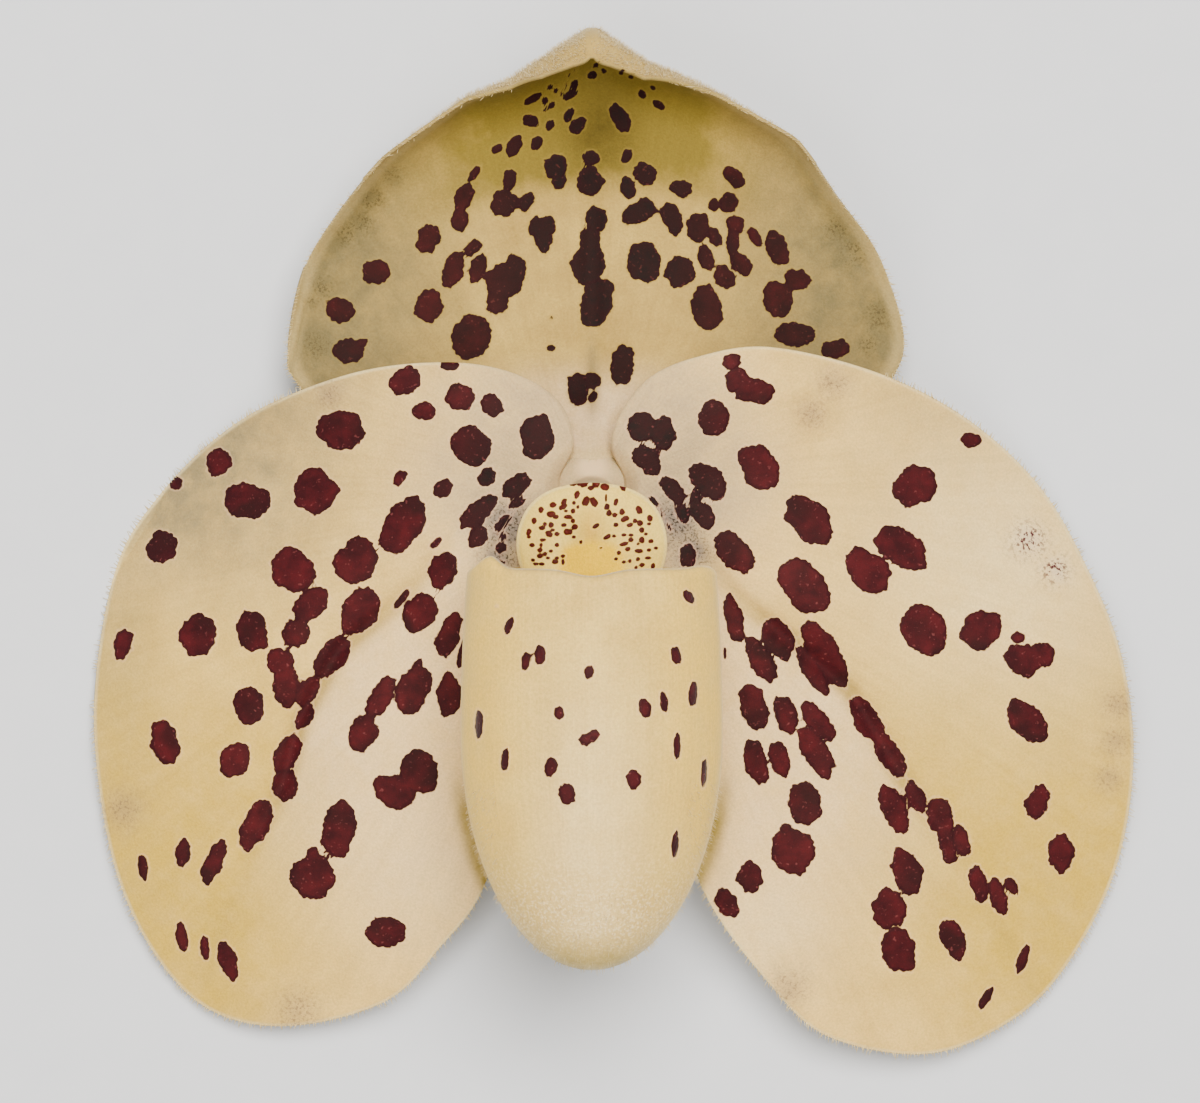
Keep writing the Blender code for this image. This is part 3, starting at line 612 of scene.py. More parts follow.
for side, turn in (("left", -1), ("right", 1)):
    outline = Outline(PETAL_CENTRE[side], PETAL_OUTLINE[side])
    surface = petal_surface(side)

    def petal_layers(plan, points):
        x, y = plan.T
        seen = as_seen(points)
        distance = np.hypot(x, y)
        offset, progress = crease_offset(plan, PETAL_CREASE[side])
        outer = smooth_step(9, 30, distance)
        return {
            **spot_layers(seen, PETAL_SPOTS[side], 3),
            # Painted shade on the shoulder, over a real grey-green tint
            "shade": outer * PETAL_SHADE[side]
            * np.maximum(smooth_step(-14, 2, y), 0.55 * smooth_step(29, 34, abs(x))),
            "yellow": outer * smooth_step(-2, -26, y) * smooth_step(14.0, 0.0, offset),
            "lilac": np.maximum(
                smooth_step(-0.4, 1.2, offset) * smooth_step(42, 24, distance),
                0.8 * smooth_step(18, 6, distance),
            ),
            # Painted shade at the heart, where the petals' bases lie among the other parts
            "heart": np.maximum(
                smooth_step(13, 5, distance), smooth_step(17, 7, distance) * smooth_step(-6, 0, y)
            ),
            # Painted shade along the crease
            "crease": np.exp(-((offset / 0.75) ** 2))
            * np.sin(math.pi * np.clip(progress / 0.9, 0.01, 0.99)) ** 0.5,
            # Pools of painted light
            "bright": glow(seen, PETAL_LIGHT_POOLS[side]),
            "smudge": glow(seen, PETAL_SMUDGES[side]),
            "hollow": glow(seen, PETAL_HOLLOWS[side]),
            "ghost": glow(seen, PETAL_GHOSTS[side]),
            # The pouch's painted shadow on the petals beside it
            "pouch_shadow": pouch_shadow_band(seen),
            "near": smooth_step(12.5, 7.5, distance),
            "veins": np.column_stack((np.degrees(np.arctan2(y, turn * x)), distance)),
        }

    petal = piece_from(
        blade_mesh(f"petal_{side}_blade", outline, surface, BLADE_CELLS, PETAL_THICKNESS, petal_layers),
        petal_face, petal_back,
    )
    thicken(petal, PETAL_THICKNESS)
    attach(petal, "root")
    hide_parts(f"petal_{side}")

    # The hairs stand on the outer and lower margins, clear of the heart and of the dorsal sepal
    dice = np.random.default_rng(11)
    roots, ways = fringe(outline, surface, PETAL_HAIR_SPACING, dice)
    away = (np.hypot(roots[:, 0], roots[:, 1]) > 9) & ((abs(roots[:, 0]) > 21) | (roots[:, 1] < 0))
    roots, ways = roots[away], ways[away]
    ways = unit(ways + dice.normal(0, 0.22, ways.shape) + np.array((0, 0, 0.15)))
    lengths = dice.uniform(0.3, 0.62, len(roots))
    ways = above_floor(roots, ways, lengths)
    hairs = piece_from(hair_mesh(f"petal_{side}_hairs", roots, ways, lengths, 0.05), cream_hair)
    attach(hairs, "root")


# The dorsal sepal
# The broad upper sepal is a thick waxy bowl, olive-cream and spotted. Its top rolls forwards into a hood
# with a hooked tip, whose back is covered with short pale down. It grows from the heart.
SEPAL_THICKNESS = 0.8
DORSAL_CENTRE = (0.0, 15.0)
DORSAL_LOWER_OUTLINE = (
    (-21.4, 7.9), (-18.9, 5.6), (-13.0, 4.0), (-7.0, 2.5), (-2.2, 2.2), (2.2, 2.2), (7.0, 2.5), (13.0, 4.0),
    (19.4, 5.8), (21.9, 8.5),
)
# The top edge as seen from in front, and how far it has turned forwards there, in degrees
DORSAL_TOP_EDGE = (
    (-21.9, 10.2, 15), (-20.6, 16.6, 30), (-17.9, 21.0, 48), (-14.9, 24.6, 62), (-11.8, 26.9, 74),
    (-9.0, 28.8, 84), (-5.8, 29.7, 98), (-3.6, 30.9, 116), (-1.6, 32.3, 130), (0.0, 33.4, 135),
    (1.6, 32.3, 130), (3.7, 30.8, 116), (6.0, 30.1, 98), (8.8, 29.2, 84), (11.4, 27.8, 74),
    (14.7, 25.8, 62), (17.4, 22.0, 48), (20.5, 17.6, 30), (22.4, 11.8, 15),
)
DORSAL_LOW_HEIGHT = 4.85
DORSAL_LOW_AT = 17.0
DORSAL_BOWL = 0.0198
DORSAL_HALF_WIDTH = 22.0
DORSAL_SIDE_RISE = 2.6
DORSAL_CORNER_DROP = 2.0
DORSAL_CLAW_RISE = 1.5
HOOD_RADIUS = 5.0
DORSAL_HAIR_SPACING = 0.17
DORSAL_DOWN_HAIRS = 5200
DORSAL_SPOTS = (
    (592, 75, 10, 8, 0), (596, 65, 6, 5, 30), (604, 71, 6, 5, 0), (621, 73, 5, 4, 0), (631, 77, 6, 4, -20),
    (533, 99, 20, 8, 30), (545, 101, 9, 6, 75), (552, 105, 8, 6, 30), (545, 110, 5, 4, 0),
    (550, 87, 7, 5, 20), (556, 91, 6, 5, 45), (566, 85, 4, 4, 0), (562, 94, 5, 5, 0), (570, 95, 17, 8, 28),
    (575, 84, 10, 7, 60), (653, 88, 6, 4, -40), (576, 70, 4, 3, 0), (569, 75, 4, 3, 0),
    (531, 121, 17, 12, -20), (550, 125, 12, 9, 65), (569, 115, 15, 9, 60), (578, 126, 20, 14, 50),
    (620, 118, 32, 17, 121), (642, 94, 10, 7, 130), (659, 105, 14, 8, 145), (514, 146, 24, 14, 65),
    (537, 143, 15, 11, 60), (497, 149, 13, 8, 35), (556, 167, 27, 22, 80), (559, 182, 16, 14, 90),
    (591, 158, 18, 16, 0), (590, 181, 30, 26, 90), (627, 156, 15, 11, 60), (645, 174, 26, 21, 110),
    (628, 188, 22, 15, 100), (681, 189, 22, 17, -10), (510, 180, 22, 14, 80), (504, 203, 30, 24, 55),
    (526, 202, 20, 14, 55), (474, 174, 20, 8, 55), (464, 198, 30, 17, 70), (460, 220, 24, 17, 85),
    (639, 212, 36, 22, 20), (672, 218, 34, 20, 113), (734, 177, 26, 16, 130), (714, 205, 14, 10, 90),
    (729, 203, 21, 18, 60), (596, 219, 26, 22, 110), (536, 226, 20, 16, 60), (548, 226, 19, 16, 90),
    (543, 239, 28, 18, 95), (428, 239, 30, 23, 65), (453, 270, 38, 20, 72), (473, 248, 18, 14, 50),
    (478, 268, 31, 16, 70), (505, 280, 40, 34, 30), (498, 300, 30, 21, 75), (516, 266, 26, 18, 110),
    (429, 306, 33, 28, 90), (376, 272, 29, 24, 0), (340, 310, 31, 24, -25), (348, 351, 32, 24, 0),
    (361, 343, 14, 9, 20), (471, 337, 46, 38, 70), (590, 240, 26, 20, 80), (588, 264, 42, 33, 70),
    (596, 303, 50, 31, 80), (604, 289, 22, 20, 100), (551, 348, 8, 7, 0), (551, 318, 4, 4, 0),
    (578, 389, 33, 22, 95), (592, 381, 17, 16, 0), (593, 397, 12, 9, 60), (622, 365, 42, 23, 82),
    (698, 227, 28, 23, 80), (715, 237, 22, 12, 120), (735, 224, 18, 18, 120), (733, 243, 28, 13, 88),
    (741, 264, 28, 18, 128), (755, 237, 22, 11, 120), (777, 248, 35, 22, 108), (797, 280, 26, 23, -10),
    (778, 299, 38, 29, 100), (644, 262, 40, 35, 100), (706, 258, 26, 16, 100), (680, 272, 31, 30, 0),
    (725, 277, 25, 19, 130), (707, 308, 46, 30, 98), (795, 334, 42, 23, -4), (835, 349, 30, 18, 12),
)
DORSAL_SMUDGES = (
    (373, 199, 26), (363, 223, 24), (346, 234, 24), (322, 287, 26), (316, 346, 26), (837, 228, 26),
    (855, 253, 30), (880, 315, 34), (868, 345, 22), (310, 300, 18), (392, 175, 20),
)
# The deep shade under the hooked tip
DORSAL_GLOOM = ((600, 136, 74),)


def hood_roll(x):
    """Where the hood starts to roll up, its slope there, and the length of its roll to the edge."""
    across, edges, turns = zip(*DORSAL_TOP_EDGE)
    edge = np.interp(x, across, edges)
    turned = np.radians(np.interp(x, across, turns))
    slope = np.zeros_like(edge)
    for _ in range(4):
        start = edge - HOOD_RADIUS * (np.sin(np.minimum(turned, math.pi / 2)) - np.sin(slope))
        start -= SEPAL_THICKNESS * np.sin(np.minimum(turned, math.pi / 2))
        slope = np.minimum(turned, np.arctan(2 * DORSAL_BOWL * (start - DORSAL_LOW_AT)))
    return start, slope, HOOD_RADIUS * (turned - slope)


def dorsal_surface(plan, margin):
    """The dorsal sepal is a shallow bowl whose top rolls forwards into a hood, hooked at its tip."""
    x, y = plan.T

    def bowl(at):
        height = DORSAL_LOW_HEIGHT + DORSAL_BOWL * (at - DORSAL_LOW_AT) ** 2
        side = -DORSAL_CORNER_DROP + (DORSAL_CORNER_DROP + DORSAL_SIDE_RISE) * smooth_step(2, 20, at)
        return height + side * (x / DORSAL_HALF_WIDTH) ** 2

    start, slope, _ = hood_roll(x)
    turned = slope + np.maximum(y - start, 0) / HOOD_RADIUS
    rolled_y = np.where(y > start, start + HOOD_RADIUS * (np.sin(turned) - np.sin(slope)), y)
    level = bowl(np.minimum(y, start)) + HOOD_RADIUS * (np.cos(slope) - np.cos(turned))
    dent = 0.3 * np.exp(-((x / 0.9) ** 2)) * smooth_step(4, 9, y) * smooth_step(26, 18, y)
    level += 0.2 * relief(plan, 6.0, 5) * smooth_step(3, 8, y) - dent
    level += DORSAL_CLAW_RISE * np.exp(-((x / 2.2) ** 2)) * smooth_step(7.5, 2.2, y)
    level -= 0.14 * (1 - np.clip(margin / 0.35, 0, 1)) ** 2 * (turned < 1.0)
    return stand(np.column_stack((x, rolled_y)), level)


def dorsal_layers(plan, points):
    x, y = plan.T
    seen = as_seen(points)
    distance = np.hypot(x, y)
    return {
        **spot_layers(seen, DORSAL_SPOTS, 5),
        # Mustard under the hood, darkened there by painted shade
        "apex": smooth_step(20.5, 24.5, seen[:, 1] + 0.02 * (seen[:, 0] - 1) ** 2)
        * smooth_step(14, 5, seen[:, 0]) * smooth_step(-16, -5, seen[:, 0]),
        "gloom": glow(seen, DORSAL_GLOOM),
        # Painted shade down the midrib's dent
        "midrib": np.exp(-((x / 0.5) ** 2)) * smooth_step(4, 7, y) * smooth_step(12, 9, y),
        # Greyer towards the sides, partly painted shade
        "side": smooth_step(5, 18, abs(x)),
        "low": smooth_step(10.5, 5, y) * smooth_step(9, 3, abs(x)),
        "smudge": glow(seen, DORSAL_SMUDGES),
        "near": smooth_step(11, 4, np.hypot(seen[:, 0] - 0.5, (seen[:, 1] - 18) * 0.45)),
        "veins": np.column_stack((np.degrees(np.arctan2(x, y + 6)), distance)),
    }


top_edge = []
for edge_x, _, _ in reversed(DORSAL_TOP_EDGE):
    roll_start, _, rolled = hood_roll(np.array([edge_x]))
    top_edge.append((edge_x, float(roll_start[0] + rolled[0])))
dorsal_outline = Outline(DORSAL_CENTRE, (*DORSAL_LOWER_OUTLINE, *top_edge))

# Waxy sepal flesh: olive-cream, greyer at the sides partly from painted shade, mustard under the hood and
# darkened there by painted shade, with a line of painted shade down the midrib and maroon spots
SEPAL_MAROON = {**MAROON, "deep": "#20080c", "bright": "#340c12", "glint_speck": "#5a2c2c", "halo": "#8f7a38"}
sepal_face = tissue(
    "waxy_sepal_face", ("#b49c58", "#9a8348"),
    (
        # The side and apex washes are partly painted shade, and the midrib and gloom washes wholly
        ("side", "#6c6344", 0.9), ("apex", "#746628", 1.3), ("gloom", "#2e2606", 0.6),
        ("low", "#d4bd9e", 0.9), ("midrib", "#7a6c48", 0.75), ("smudge", "#5f5638", 0.5),
        ("smudge", "#3d3626", 0.7, 0.2), ("rim", "#b8a674", 0.45),
    ),
    SEPAL_MAROON, roughness=0.56,
)
sepal_back = tissue(
    "downy_sepal_back", ("#b29c60", "#9c864c"), (("side", "#8a7a50", 0.5),), SEPAL_MAROON,
    spot_strength=0.22, roughness=0.62, sheen=0.2,
)
dorsal = piece_from(
    blade_mesh(
        "dorsal_sepal_blade", dorsal_outline, dorsal_surface, BLADE_CELLS, SEPAL_THICKNESS, dorsal_layers, 1.3
    ),
    sepal_face, sepal_back,
)
thicken(dorsal, SEPAL_THICKNESS)
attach(dorsal, "root")
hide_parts("dorsal_sepal")

dice = np.random.default_rng(21)
roots, ways = fringe(dorsal_outline, dorsal_surface, DORSAL_HAIR_SPACING, dice)
open_edge = (np.abs(roots[:, 0]) > 5.5) | (roots[:, 1] < 10)
roots, ways = roots[open_edge], ways[open_edge]
ways = unit(ways + dice.normal(0, 0.35, ways.shape))
lengths = dice.uniform(0.25, 0.62, len(roots))
sepal_fringe = piece_from(hair_mesh("dorsal_sepal_hairs", roots, ways, lengths, 0.04), cream_hair)
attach(sepal_fringe, "root")

# Down on the back of the hood, thickest on the hooked tip
down_bearing = math.pi / 2 + dice.normal(0, 0.5, DORSAL_DOWN_HAIRS)
down_share = 1 - np.abs(dice.normal(0, 0.13, DORSAL_DOWN_HAIRS)) - 0.004
down_plan, down_margin = dorsal_outline.at(down_bearing, down_share)
down_roots = dorsal_surface(down_plan, down_margin)
sideways = dorsal_surface(down_plan + (0.1, 0.0), down_margin) - down_roots
upwards = dorsal_surface(down_plan + (0.0, 0.1), down_margin) - down_roots
backwards = -unit(np.cross(sideways, upwards))
down_depth = SEPAL_THICKNESS * (0.3 + 0.7 * smooth_step(0, 1.6, down_margin))
down_roots = down_roots + backwards * down_depth[:, None]
down_ways = unit(backwards + 0.3 * unit(upwards) + dice.normal(0, 0.3, down_roots.shape))
lengths = dice.uniform(0.18, 0.38, DORSAL_DOWN_HAIRS)
down = piece_from(hair_mesh("dorsal_sepal_down", down_roots, down_ways, lengths, 0.022), cream_hair)
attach(down, "root")


# The synsepal
# The two lower sepals have grown together into one boat-shaped blade. It stands behind the pouch, is the
# same waxy tissue as the dorsal sepal, and grows from the heart.
SYNSEPAL_CENTRE = (0.0, -15.0)
SYNSEPAL_OUTLINE = (
    (2.2, -2.6), (6.2, -5.0), (9.5, -10.5), (10.4, -16.0), (8.8, -22.4), (4.7, -27.0), (0.0, -28.6),
    (-4.7, -27.0), (-8.8, -22.4), (-10.4, -16.0), (-9.5, -10.5), (-6.2, -5.0), (-2.2, -2.6),
)
SYNSEPAL_SPOTS = (
    (560, 610, 24, 14, 80), (622, 618, 26, 16, 100), (590, 652, 30, 20, 90), (545, 668, 22, 14, 70),
    (640, 676, 24, 15, 110), (608, 712, 28, 18, 95), (560, 728, 26, 15, 80), (525, 700, 18, 11, 65),
    (664, 722, 20, 12, 115), (590, 780, 30, 18, 90), (625, 770, 22, 12, 100), (548, 784, 22, 13, 75),
    (600, 830, 24, 14, 90), (568, 838, 16, 10, 80),
)


def synsepal_surface(plan, margin):
    x, y = plan.T
    height = 6.8 + 2.4 * np.exp((y - SYNSEPAL_OUTLINE[0][1]) / 5.0) + 0.1 * (x / 10.4) ** 2
    height += 0.08 * relief(plan, 5.0, 8) * smooth_step(-4, -8, y)
    height -= 0.1 * (1 - np.clip(margin / 0.35, 0, 1)) ** 2
    return np.column_stack((x, y, height))


def synsepal_layers(plan, points):
    x, y = plan.T
    return {
        **spot_layers(plan, SYNSEPAL_SPOTS, 9),
        "side": smooth_step(4, 10, abs(x)),
        "veins": np.column_stack((np.degrees(np.arctan2(x, -y)), np.hypot(x, y))),
    }


synsepal_outline = Outline(SYNSEPAL_CENTRE, SYNSEPAL_OUTLINE)
synsepal = piece_from(
    blade_mesh("synsepal_blade", synsepal_outline, synsepal_surface, 90, SEPAL_THICKNESS, synsepal_layers),
    sepal_face, sepal_back,
)
thicken(synsepal, SEPAL_THICKNESS)
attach(synsepal, "root")
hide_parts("synsepal")

roots, ways = fringe(synsepal_outline, synsepal_surface, 0.45, dice)
ways = unit(ways + dice.normal(0, 0.25, ways.shape))
lengths = dice.uniform(0.2, 0.45, len(roots))
synsepal_fringe = piece_from(hair_mesh("synsepal_hairs", roots, ways, lengths, 0.035), white_hair)
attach(synsepal_fringe, "root")


# The pouch
# The lip is a hollow egg-shaped pouch of the same waxy tissue, with an open mouth whose rim curls in. Its
# outside is downy, most at its round end, and a claw at its back holds it to the heart.
LIP_WALL = 0.9
LIP_HALF_WIDTH = 9.15
LIP_HALF_DEPTH = 7.6
LIP_BACK_HEIGHT = 11.85
LIP_MIDDLE_Y = -17.1
LIP_ROUND_END = 16.6
LIP_ROUND_SHARE = 0.55
LIP_RIM_Y = -5.6
LIP_RIM_NOTCH = 0.5
LIP_RIM_EARS = ((-0.86, 0.1, 0.85), (0.93, 0.1, 0.2))
LIP_CLAW_Y = -2.5
LIP_RIM_NARROWING = 0.05
LIP_RIM_CURL = 0.45
LIP_CURL_START = 0.955
LIP_RIPPLE = 0.05
LIP_RIPPLES_ROUND = 9
POUCH_DOWN_HAIRS = 7000
POUCH_SPOTS = (
    (509, 626, 18, 8, 70), (526, 661, 20, 9, 80), (540, 655, 20, 11, 90), (589, 672, 15, 10, 90),
    (559, 713, 15, 11, 90), (586, 740, 13, 12, 0), (594, 735, 12, 11, 0), (479, 724, 29, 8, 90),
    (505, 760, 24, 8, 85), (551, 767, 21, 12, 75), (567, 794, 22, 17, 100), (497, 606, 2, 2, 0),
    (689, 597, 16, 9, 125), (676, 655, 19, 10, 100), (645, 708, 21, 12, 100), (664, 702, 22, 8, 95),
    (693, 694, 25, 9, 85), (677, 746, 27, 7, 90), (634, 779, 21, 15, 90), (704, 773, 30, 6, 88),
    (675, 845, 28, 7, 85),
)


def lip_rim_y(around):
    """How far up the pouch's rim stands, by the angle round it: a quarter turn is its front."""
    half_front = np.cos(around)
    ears = sum(rise * np.exp(-(((half_front - at) / width) ** 2)) for at, width, rise in LIP_RIM_EARS)
    notch = LIP_RIM_NOTCH * np.exp(-((half_front / 0.22) ** 2))
    claw = (LIP_CLAW_Y - LIP_RIM_Y) * np.exp(-((half_front / 0.32) ** 2))
    return LIP_RIM_Y + ears + np.where(np.sin(around) >= 0, -notch, claw)


def lip_points(around, share):
    """Points of the pouch's outer face: share 0 is its round end and 1 its rim."""
    rim = lip_rim_y(around)
    turned = np.minimum(share / LIP_ROUND_SHARE, 1.0) * math.pi / 2
    climb = np.maximum(share - LIP_ROUND_SHARE, 0) / (1 - LIP_ROUND_SHARE)
    y = LIP_MIDDLE_Y - LIP_ROUND_END * np.cos(turned) + (rim - LIP_MIDDLE_Y) * climb
    girth = np.where(share < LIP_ROUND_SHARE, np.sin(turned), 1 - LIP_RIM_NARROWING * climb**2)
    curl = LIP_RIM_CURL * np.clip((climb - LIP_CURL_START) / (1 - LIP_CURL_START), 0, 1) ** 2
    ripple = LIP_RIPPLE * np.sin(LIP_RIPPLES_ROUND * around) * np.sin(math.pi * np.clip(share, 0, 1))
    x = (LIP_HALF_WIDTH - curl + ripple) * girth * np.cos(around)
    height = LIP_BACK_HEIGHT + LIP_HALF_DEPTH + (LIP_HALF_DEPTH - curl + ripple) * girth * np.sin(around)
    return np.column_stack((x, y, height))


bm = bmesh.new()
LONG_CELLS = 126
OPEN_CELLS = 16
bmesh.ops.create_uvsphere(bm, u_segments=180, v_segments=LONG_CELLS, radius=1.0)
last_angle = math.pi * (LONG_CELLS - OPEN_CELLS) / LONG_CELLS
polar = {vert: math.acos(max(-1.0, min(1.0, -vert.co.z))) for vert in bm.verts}
cap = [vert for vert in bm.verts if polar[vert] > last_angle + 0.01]
bmesh.ops.delete(bm, geom=cap, context="VERTS")
around = np.array([math.atan2(vert.co.y, vert.co.x) for vert in bm.verts])
share = np.array([polar[vert] / last_angle for vert in bm.verts])
points = lip_points(around, share)
seen = as_seen(points)
layers = {
    **spot_layers(np.where(np.sin(around)[:, None] > -0.05, seen, 99.0), POUCH_SPOTS, 7),
    "yellow": smooth_step(3.0, 8.6, abs(points[:, 0])),
    # A painted highlight down the middle of the pouch
    "pale": np.exp(-((points[:, 0] / 3.2) ** 2)) * smooth_step(-8, -24, points[:, 1]),
    "fuzz": smooth_step(-24.0, -31.0, points[:, 1]),
    # Golden at the very end, darkened there by painted shade
    "base": smooth_step(-30.0, -33.9, points[:, 1]),
    "veins": np.column_stack((np.degrees(around) * 0.9, share * 30)),
}
write_layers(bm, layers)
for vert, point in zip(bm.verts, points):
    vert.co = (point + HEART) * MM
bmesh.ops.recalc_face_normals(bm, faces=bm.faces)

# Waxy pouch skin: ivory down its middle with a painted highlight there, straw-coloured towards its sides,
# and golden at its very end, darkened there by painted shade
pouch_face = tissue(
    "waxy_pouch_skin", ("#d8be74", "#c4a85e"),
    (
        # The pale wash is a painted highlight, and the base wash is partly painted shade
        ("yellow", "#dcba50", 0.9), ("pale", "#e6d09a", 0.75), ("fuzz", "#efe4c8", 0.45, 0.2),
        ("base", "#a18c34", 1.0),
    ),
    MAROON, roughness=0.46, sheen=0.25, grain=0.2,
)
pouch_inside = tissue(
    "waxy_pouch_lining", ("#e6cb8c", "#dabc78"), (("yellow", "#d3b264", 0.6),), MAROON, spot_strength=0.3
)
pouch = piece_from(mesh_from(bm, "pouch"), pouch_face, pouch_inside)
wall = pouch.modifiers.new("wall", "SOLIDIFY")
wall.thickness = LIP_WALL * MM
wall.offset = -1.0
wall.material_offset = 1
wall.material_offset_rim = 0
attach(pouch, "root")
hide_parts("lip_pouch")

# Down on the pouch lies towards its round end
dice = np.random.default_rng(31)
down_around = dice.uniform(-math.pi, math.pi, POUCH_DOWN_HAIRS)
down_share = np.sqrt(dice.uniform(0.0004, 0.75, POUCH_DOWN_HAIRS))
lower = dice.uniform(0, 1, POUCH_DOWN_HAIRS) < 0.3
down_share = np.where(lower, down_share * dice.uniform(0.6, 1.0, POUCH_DOWN_HAIRS), down_share)
roots = lip_points(down_around, down_share)
clear = spot_layers(as_seen(roots), POUCH_SPOTS, 7)["spot"] > 0.3
clear &= (roots[:, 1] < -28) | ((roots[:, 1] < -20.5) & (abs(roots[:, 0]) > 6.5))
clear &= (roots[:, 1] > -32.2) | (dice.uniform(0, 1, POUCH_DOWN_HAIRS) < 0.4)
roots, down_around, down_share = roots[clear], down_around[clear], down_share[clear]
upwards = lip_points(down_around, down_share + 0.002) - roots
sideways = lip_points(down_around + 0.002, down_share) - roots
outwards = unit(np.cross(upwards, sideways))
middle = np.array((0.0, LIP_MIDDLE_Y, LIP_BACK_HEIGHT + LIP_HALF_DEPTH))
outwards = outwards * np.sign(((roots - middle) * outwards).sum(axis=1))[:, None]
ways = unit(outwards + np.array((0.0, -0.55, 0.0)) + dice.normal(0, 0.22, roots.shape))
lengths = dice.uniform(0.16, 0.32, len(roots)) * (1 + 0.5 * smooth_step(0.6, 0.2, down_share))
pouch_down = piece_from(hair_mesh("pouch_down", roots, ways, lengths, 0.02), cream_hair)
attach(pouch_down, "root")


# The column and stigma
# The column is the fused stamens and style, a short fleshy post on the heart. The stigma, a domed disc on
# a short neck, faces the mouth of the pouch from its front. One piece of flesh, so they are one mesh.
COLUMN_LINE = (
    (0.0, -0.6, 8.35), (0.0, -0.8, 11.4), (0.0, -1.0, 14.0), (0.0, -1.4, 16.6), (0.0, -1.6, 17.85),
)
COLUMN_RADII = (1.8, 1.7, 1.6, 1.8, 1.6)
STIGMA_AT = (0.0, -3.7, 14.6)
STIGMA_RADII = (1.9, 0.75, 1.45)
COLLAR_AT = (0.0, 0.4, 9.1)
COLLAR_RADII = (2.9, 2.6, 2.0)
SWELLING_AT = (0.0, 1.7, 10.9)


def follow(line, radii, share, step):
    """Points, ways forward and radii at shares of the way along a line, each way taken over two steps."""
    path = np.array(line, float)
    run = np.concatenate(([0.0], np.cumsum(np.linalg.norm(np.diff(path, axis=0), axis=1))))
    reach = share * run[-1]
    at, back, ahead = (
        np.column_stack([np.interp(reach + beyond, run, path[:, axis]) for axis in range(3)])
        for beyond in (0, -step, step)
    )
    return at, unit(ahead - back), np.interp(reach, run, radii)


def ways_out(forward, turned):
    """The ways out of a stalk at these turns round it."""
    upward = np.cross(forward, (1.0, 0.0, 0.0))
    return np.cos(turned)[:, None] * (1.0, 0.0, 0.0) + np.sin(turned)[:, None] * upward


def add_stalk(bm, line, radii, sides, rings, ribs=0, rib_rise=0.0):
    """Adds a closed round stalk along a line in the middle plane: a globe drawn out along it."""
    globe = bmesh.ops.create_uvsphere(bm, u_segments=sides, v_segments=rings, radius=1.0)["verts"]
    places = np.array([vert.co for vert in globe], float)
    blunt = 0.06
    turned = np.arctan2(places[:, 1], places[:, 0])
    share = 1 - np.arccos(np.clip(places[:, 2], -1, 1)) / math.pi
    girth = np.sin(np.minimum(np.minimum(share, 1 - share), blunt) / blunt * math.pi / 2)
    at, forward, radius = follow(line, radii, np.clip((share - blunt) / (1 - 2 * blunt), 0, 1), 0.4)
    radius = radius * girth * (1 + rib_rise * np.cos(ribs * turned))
    points = at + radius[:, None] * ways_out(forward, turned)
    for vert, point in zip(globe, points):
        vert.co = Vector(point + HEART) * MM
    return globe


def add_ball(bm, centre, radii, sides=40, rings=28):
    ball = bmesh.ops.create_uvsphere(bm, u_segments=sides, v_segments=rings, radius=1.0)["verts"]
    for vert in ball:
        vert.co = Vector(np.array(centre) + HEART + np.array(radii) * np.array(vert.co)) * MM
    return ball


def grow_together(piece, cell, rounds=4):
    """Fuses overlapping closed shapes into one smooth skin, as flesh grows together."""
    fused = piece.modifiers.new("grown_together", "REMESH")
    fused.mode = "VOXEL"
    fused.voxel_size = cell * MM
    fused.use_smooth_shade = True
    even = piece.modifiers.new("even", "SMOOTH")
    even.factor = 0.5
    even.iterations = rounds


bm = bmesh.new()
add_stalk(bm, COLUMN_LINE, COLUMN_RADII, 32, 30)
add_stalk(bm, ((0.0, -0.9, 14.6), (0.0, -2.4, 14.6), STIGMA_AT), (0.9, 0.75, 0.8), 20, 16)
add_ball(bm, STIGMA_AT, STIGMA_RADII)
add_ball(bm, COLLAR_AT, COLLAR_RADII)
bmesh.ops.recalc_face_normals(bm, faces=bm.faces)
# Fleshy column: grey-beige, painted in the shade of the petals' bases, softer than they are, and with a
# painted highlight on the top of the heart's swelling
column_flesh = tissue("fleshy_column", ("#bfac8a", "#a69270"), (), softness=0.2, grain=0.2)
column_tree = column_flesh.node_tree
skin = column_tree.nodes["Principled BSDF"].inputs["Base Color"]
swelling = (np.array(SWELLING_AT) + HEART) * MM
place = add_node(column_tree, "TexCoord").outputs["Object"]
away = add_node(column_tree, "VectorMath", {0: place, 1: swelling}, operation="DISTANCE").outputs["Value"]
# A painted highlight on the top of the heart's swelling
swelling_highlight = add_node(
    column_tree, "MapRange", span(away, 0.5 * MM, 1.7 * MM, 0.85, 0.0), interpolation_type="SMOOTHSTEP"
)
highlit_skin = {0: swelling_highlight.outputs[0], 6: skin.links[0].from_socket, 7: linear("#d7bd9a")}
column_tree.links.new(add_node(column_tree, "Mix", highlit_skin, data_type="RGBA").outputs[2], skin)
column = piece_from(mesh_from(bm, "column_and_stigma"), column_flesh)
grow_together(column, 0.12, 14)
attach(column, "root")
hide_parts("column")


# The staminode
# A sterile stamen widened into a spotted shield over the column. It is firm glossy flesh, domed across
# its width, ridged down its middle and yellow at its lower tip, and stands on the end of the column.
STAMINODE_CENTRE = (0.0, -3.6)
STAMINODE_OUTLINE = (
    (0.0, 0.4), (2.6, 0.0), (4.3, -1.1), (5.15, -2.8), (5.25, -4.6), (4.6, -6.3), (3.0, -7.3), (1.3, -7.5),
    (0.0, -8.0), (-1.3, -7.5), (-3.0, -7.3), (-4.6, -6.3), (-5.25, -4.6), (-5.15, -2.8), (-4.3, -1.1),
    (-2.6, 0.0),
)
STAMINODE_HEIGHT = 19.7
STAMINODE_CROWN = 1.5
STAMINODE_HALF_WIDTH = 5.25
STAMINODE_THICKNESS = 1.0
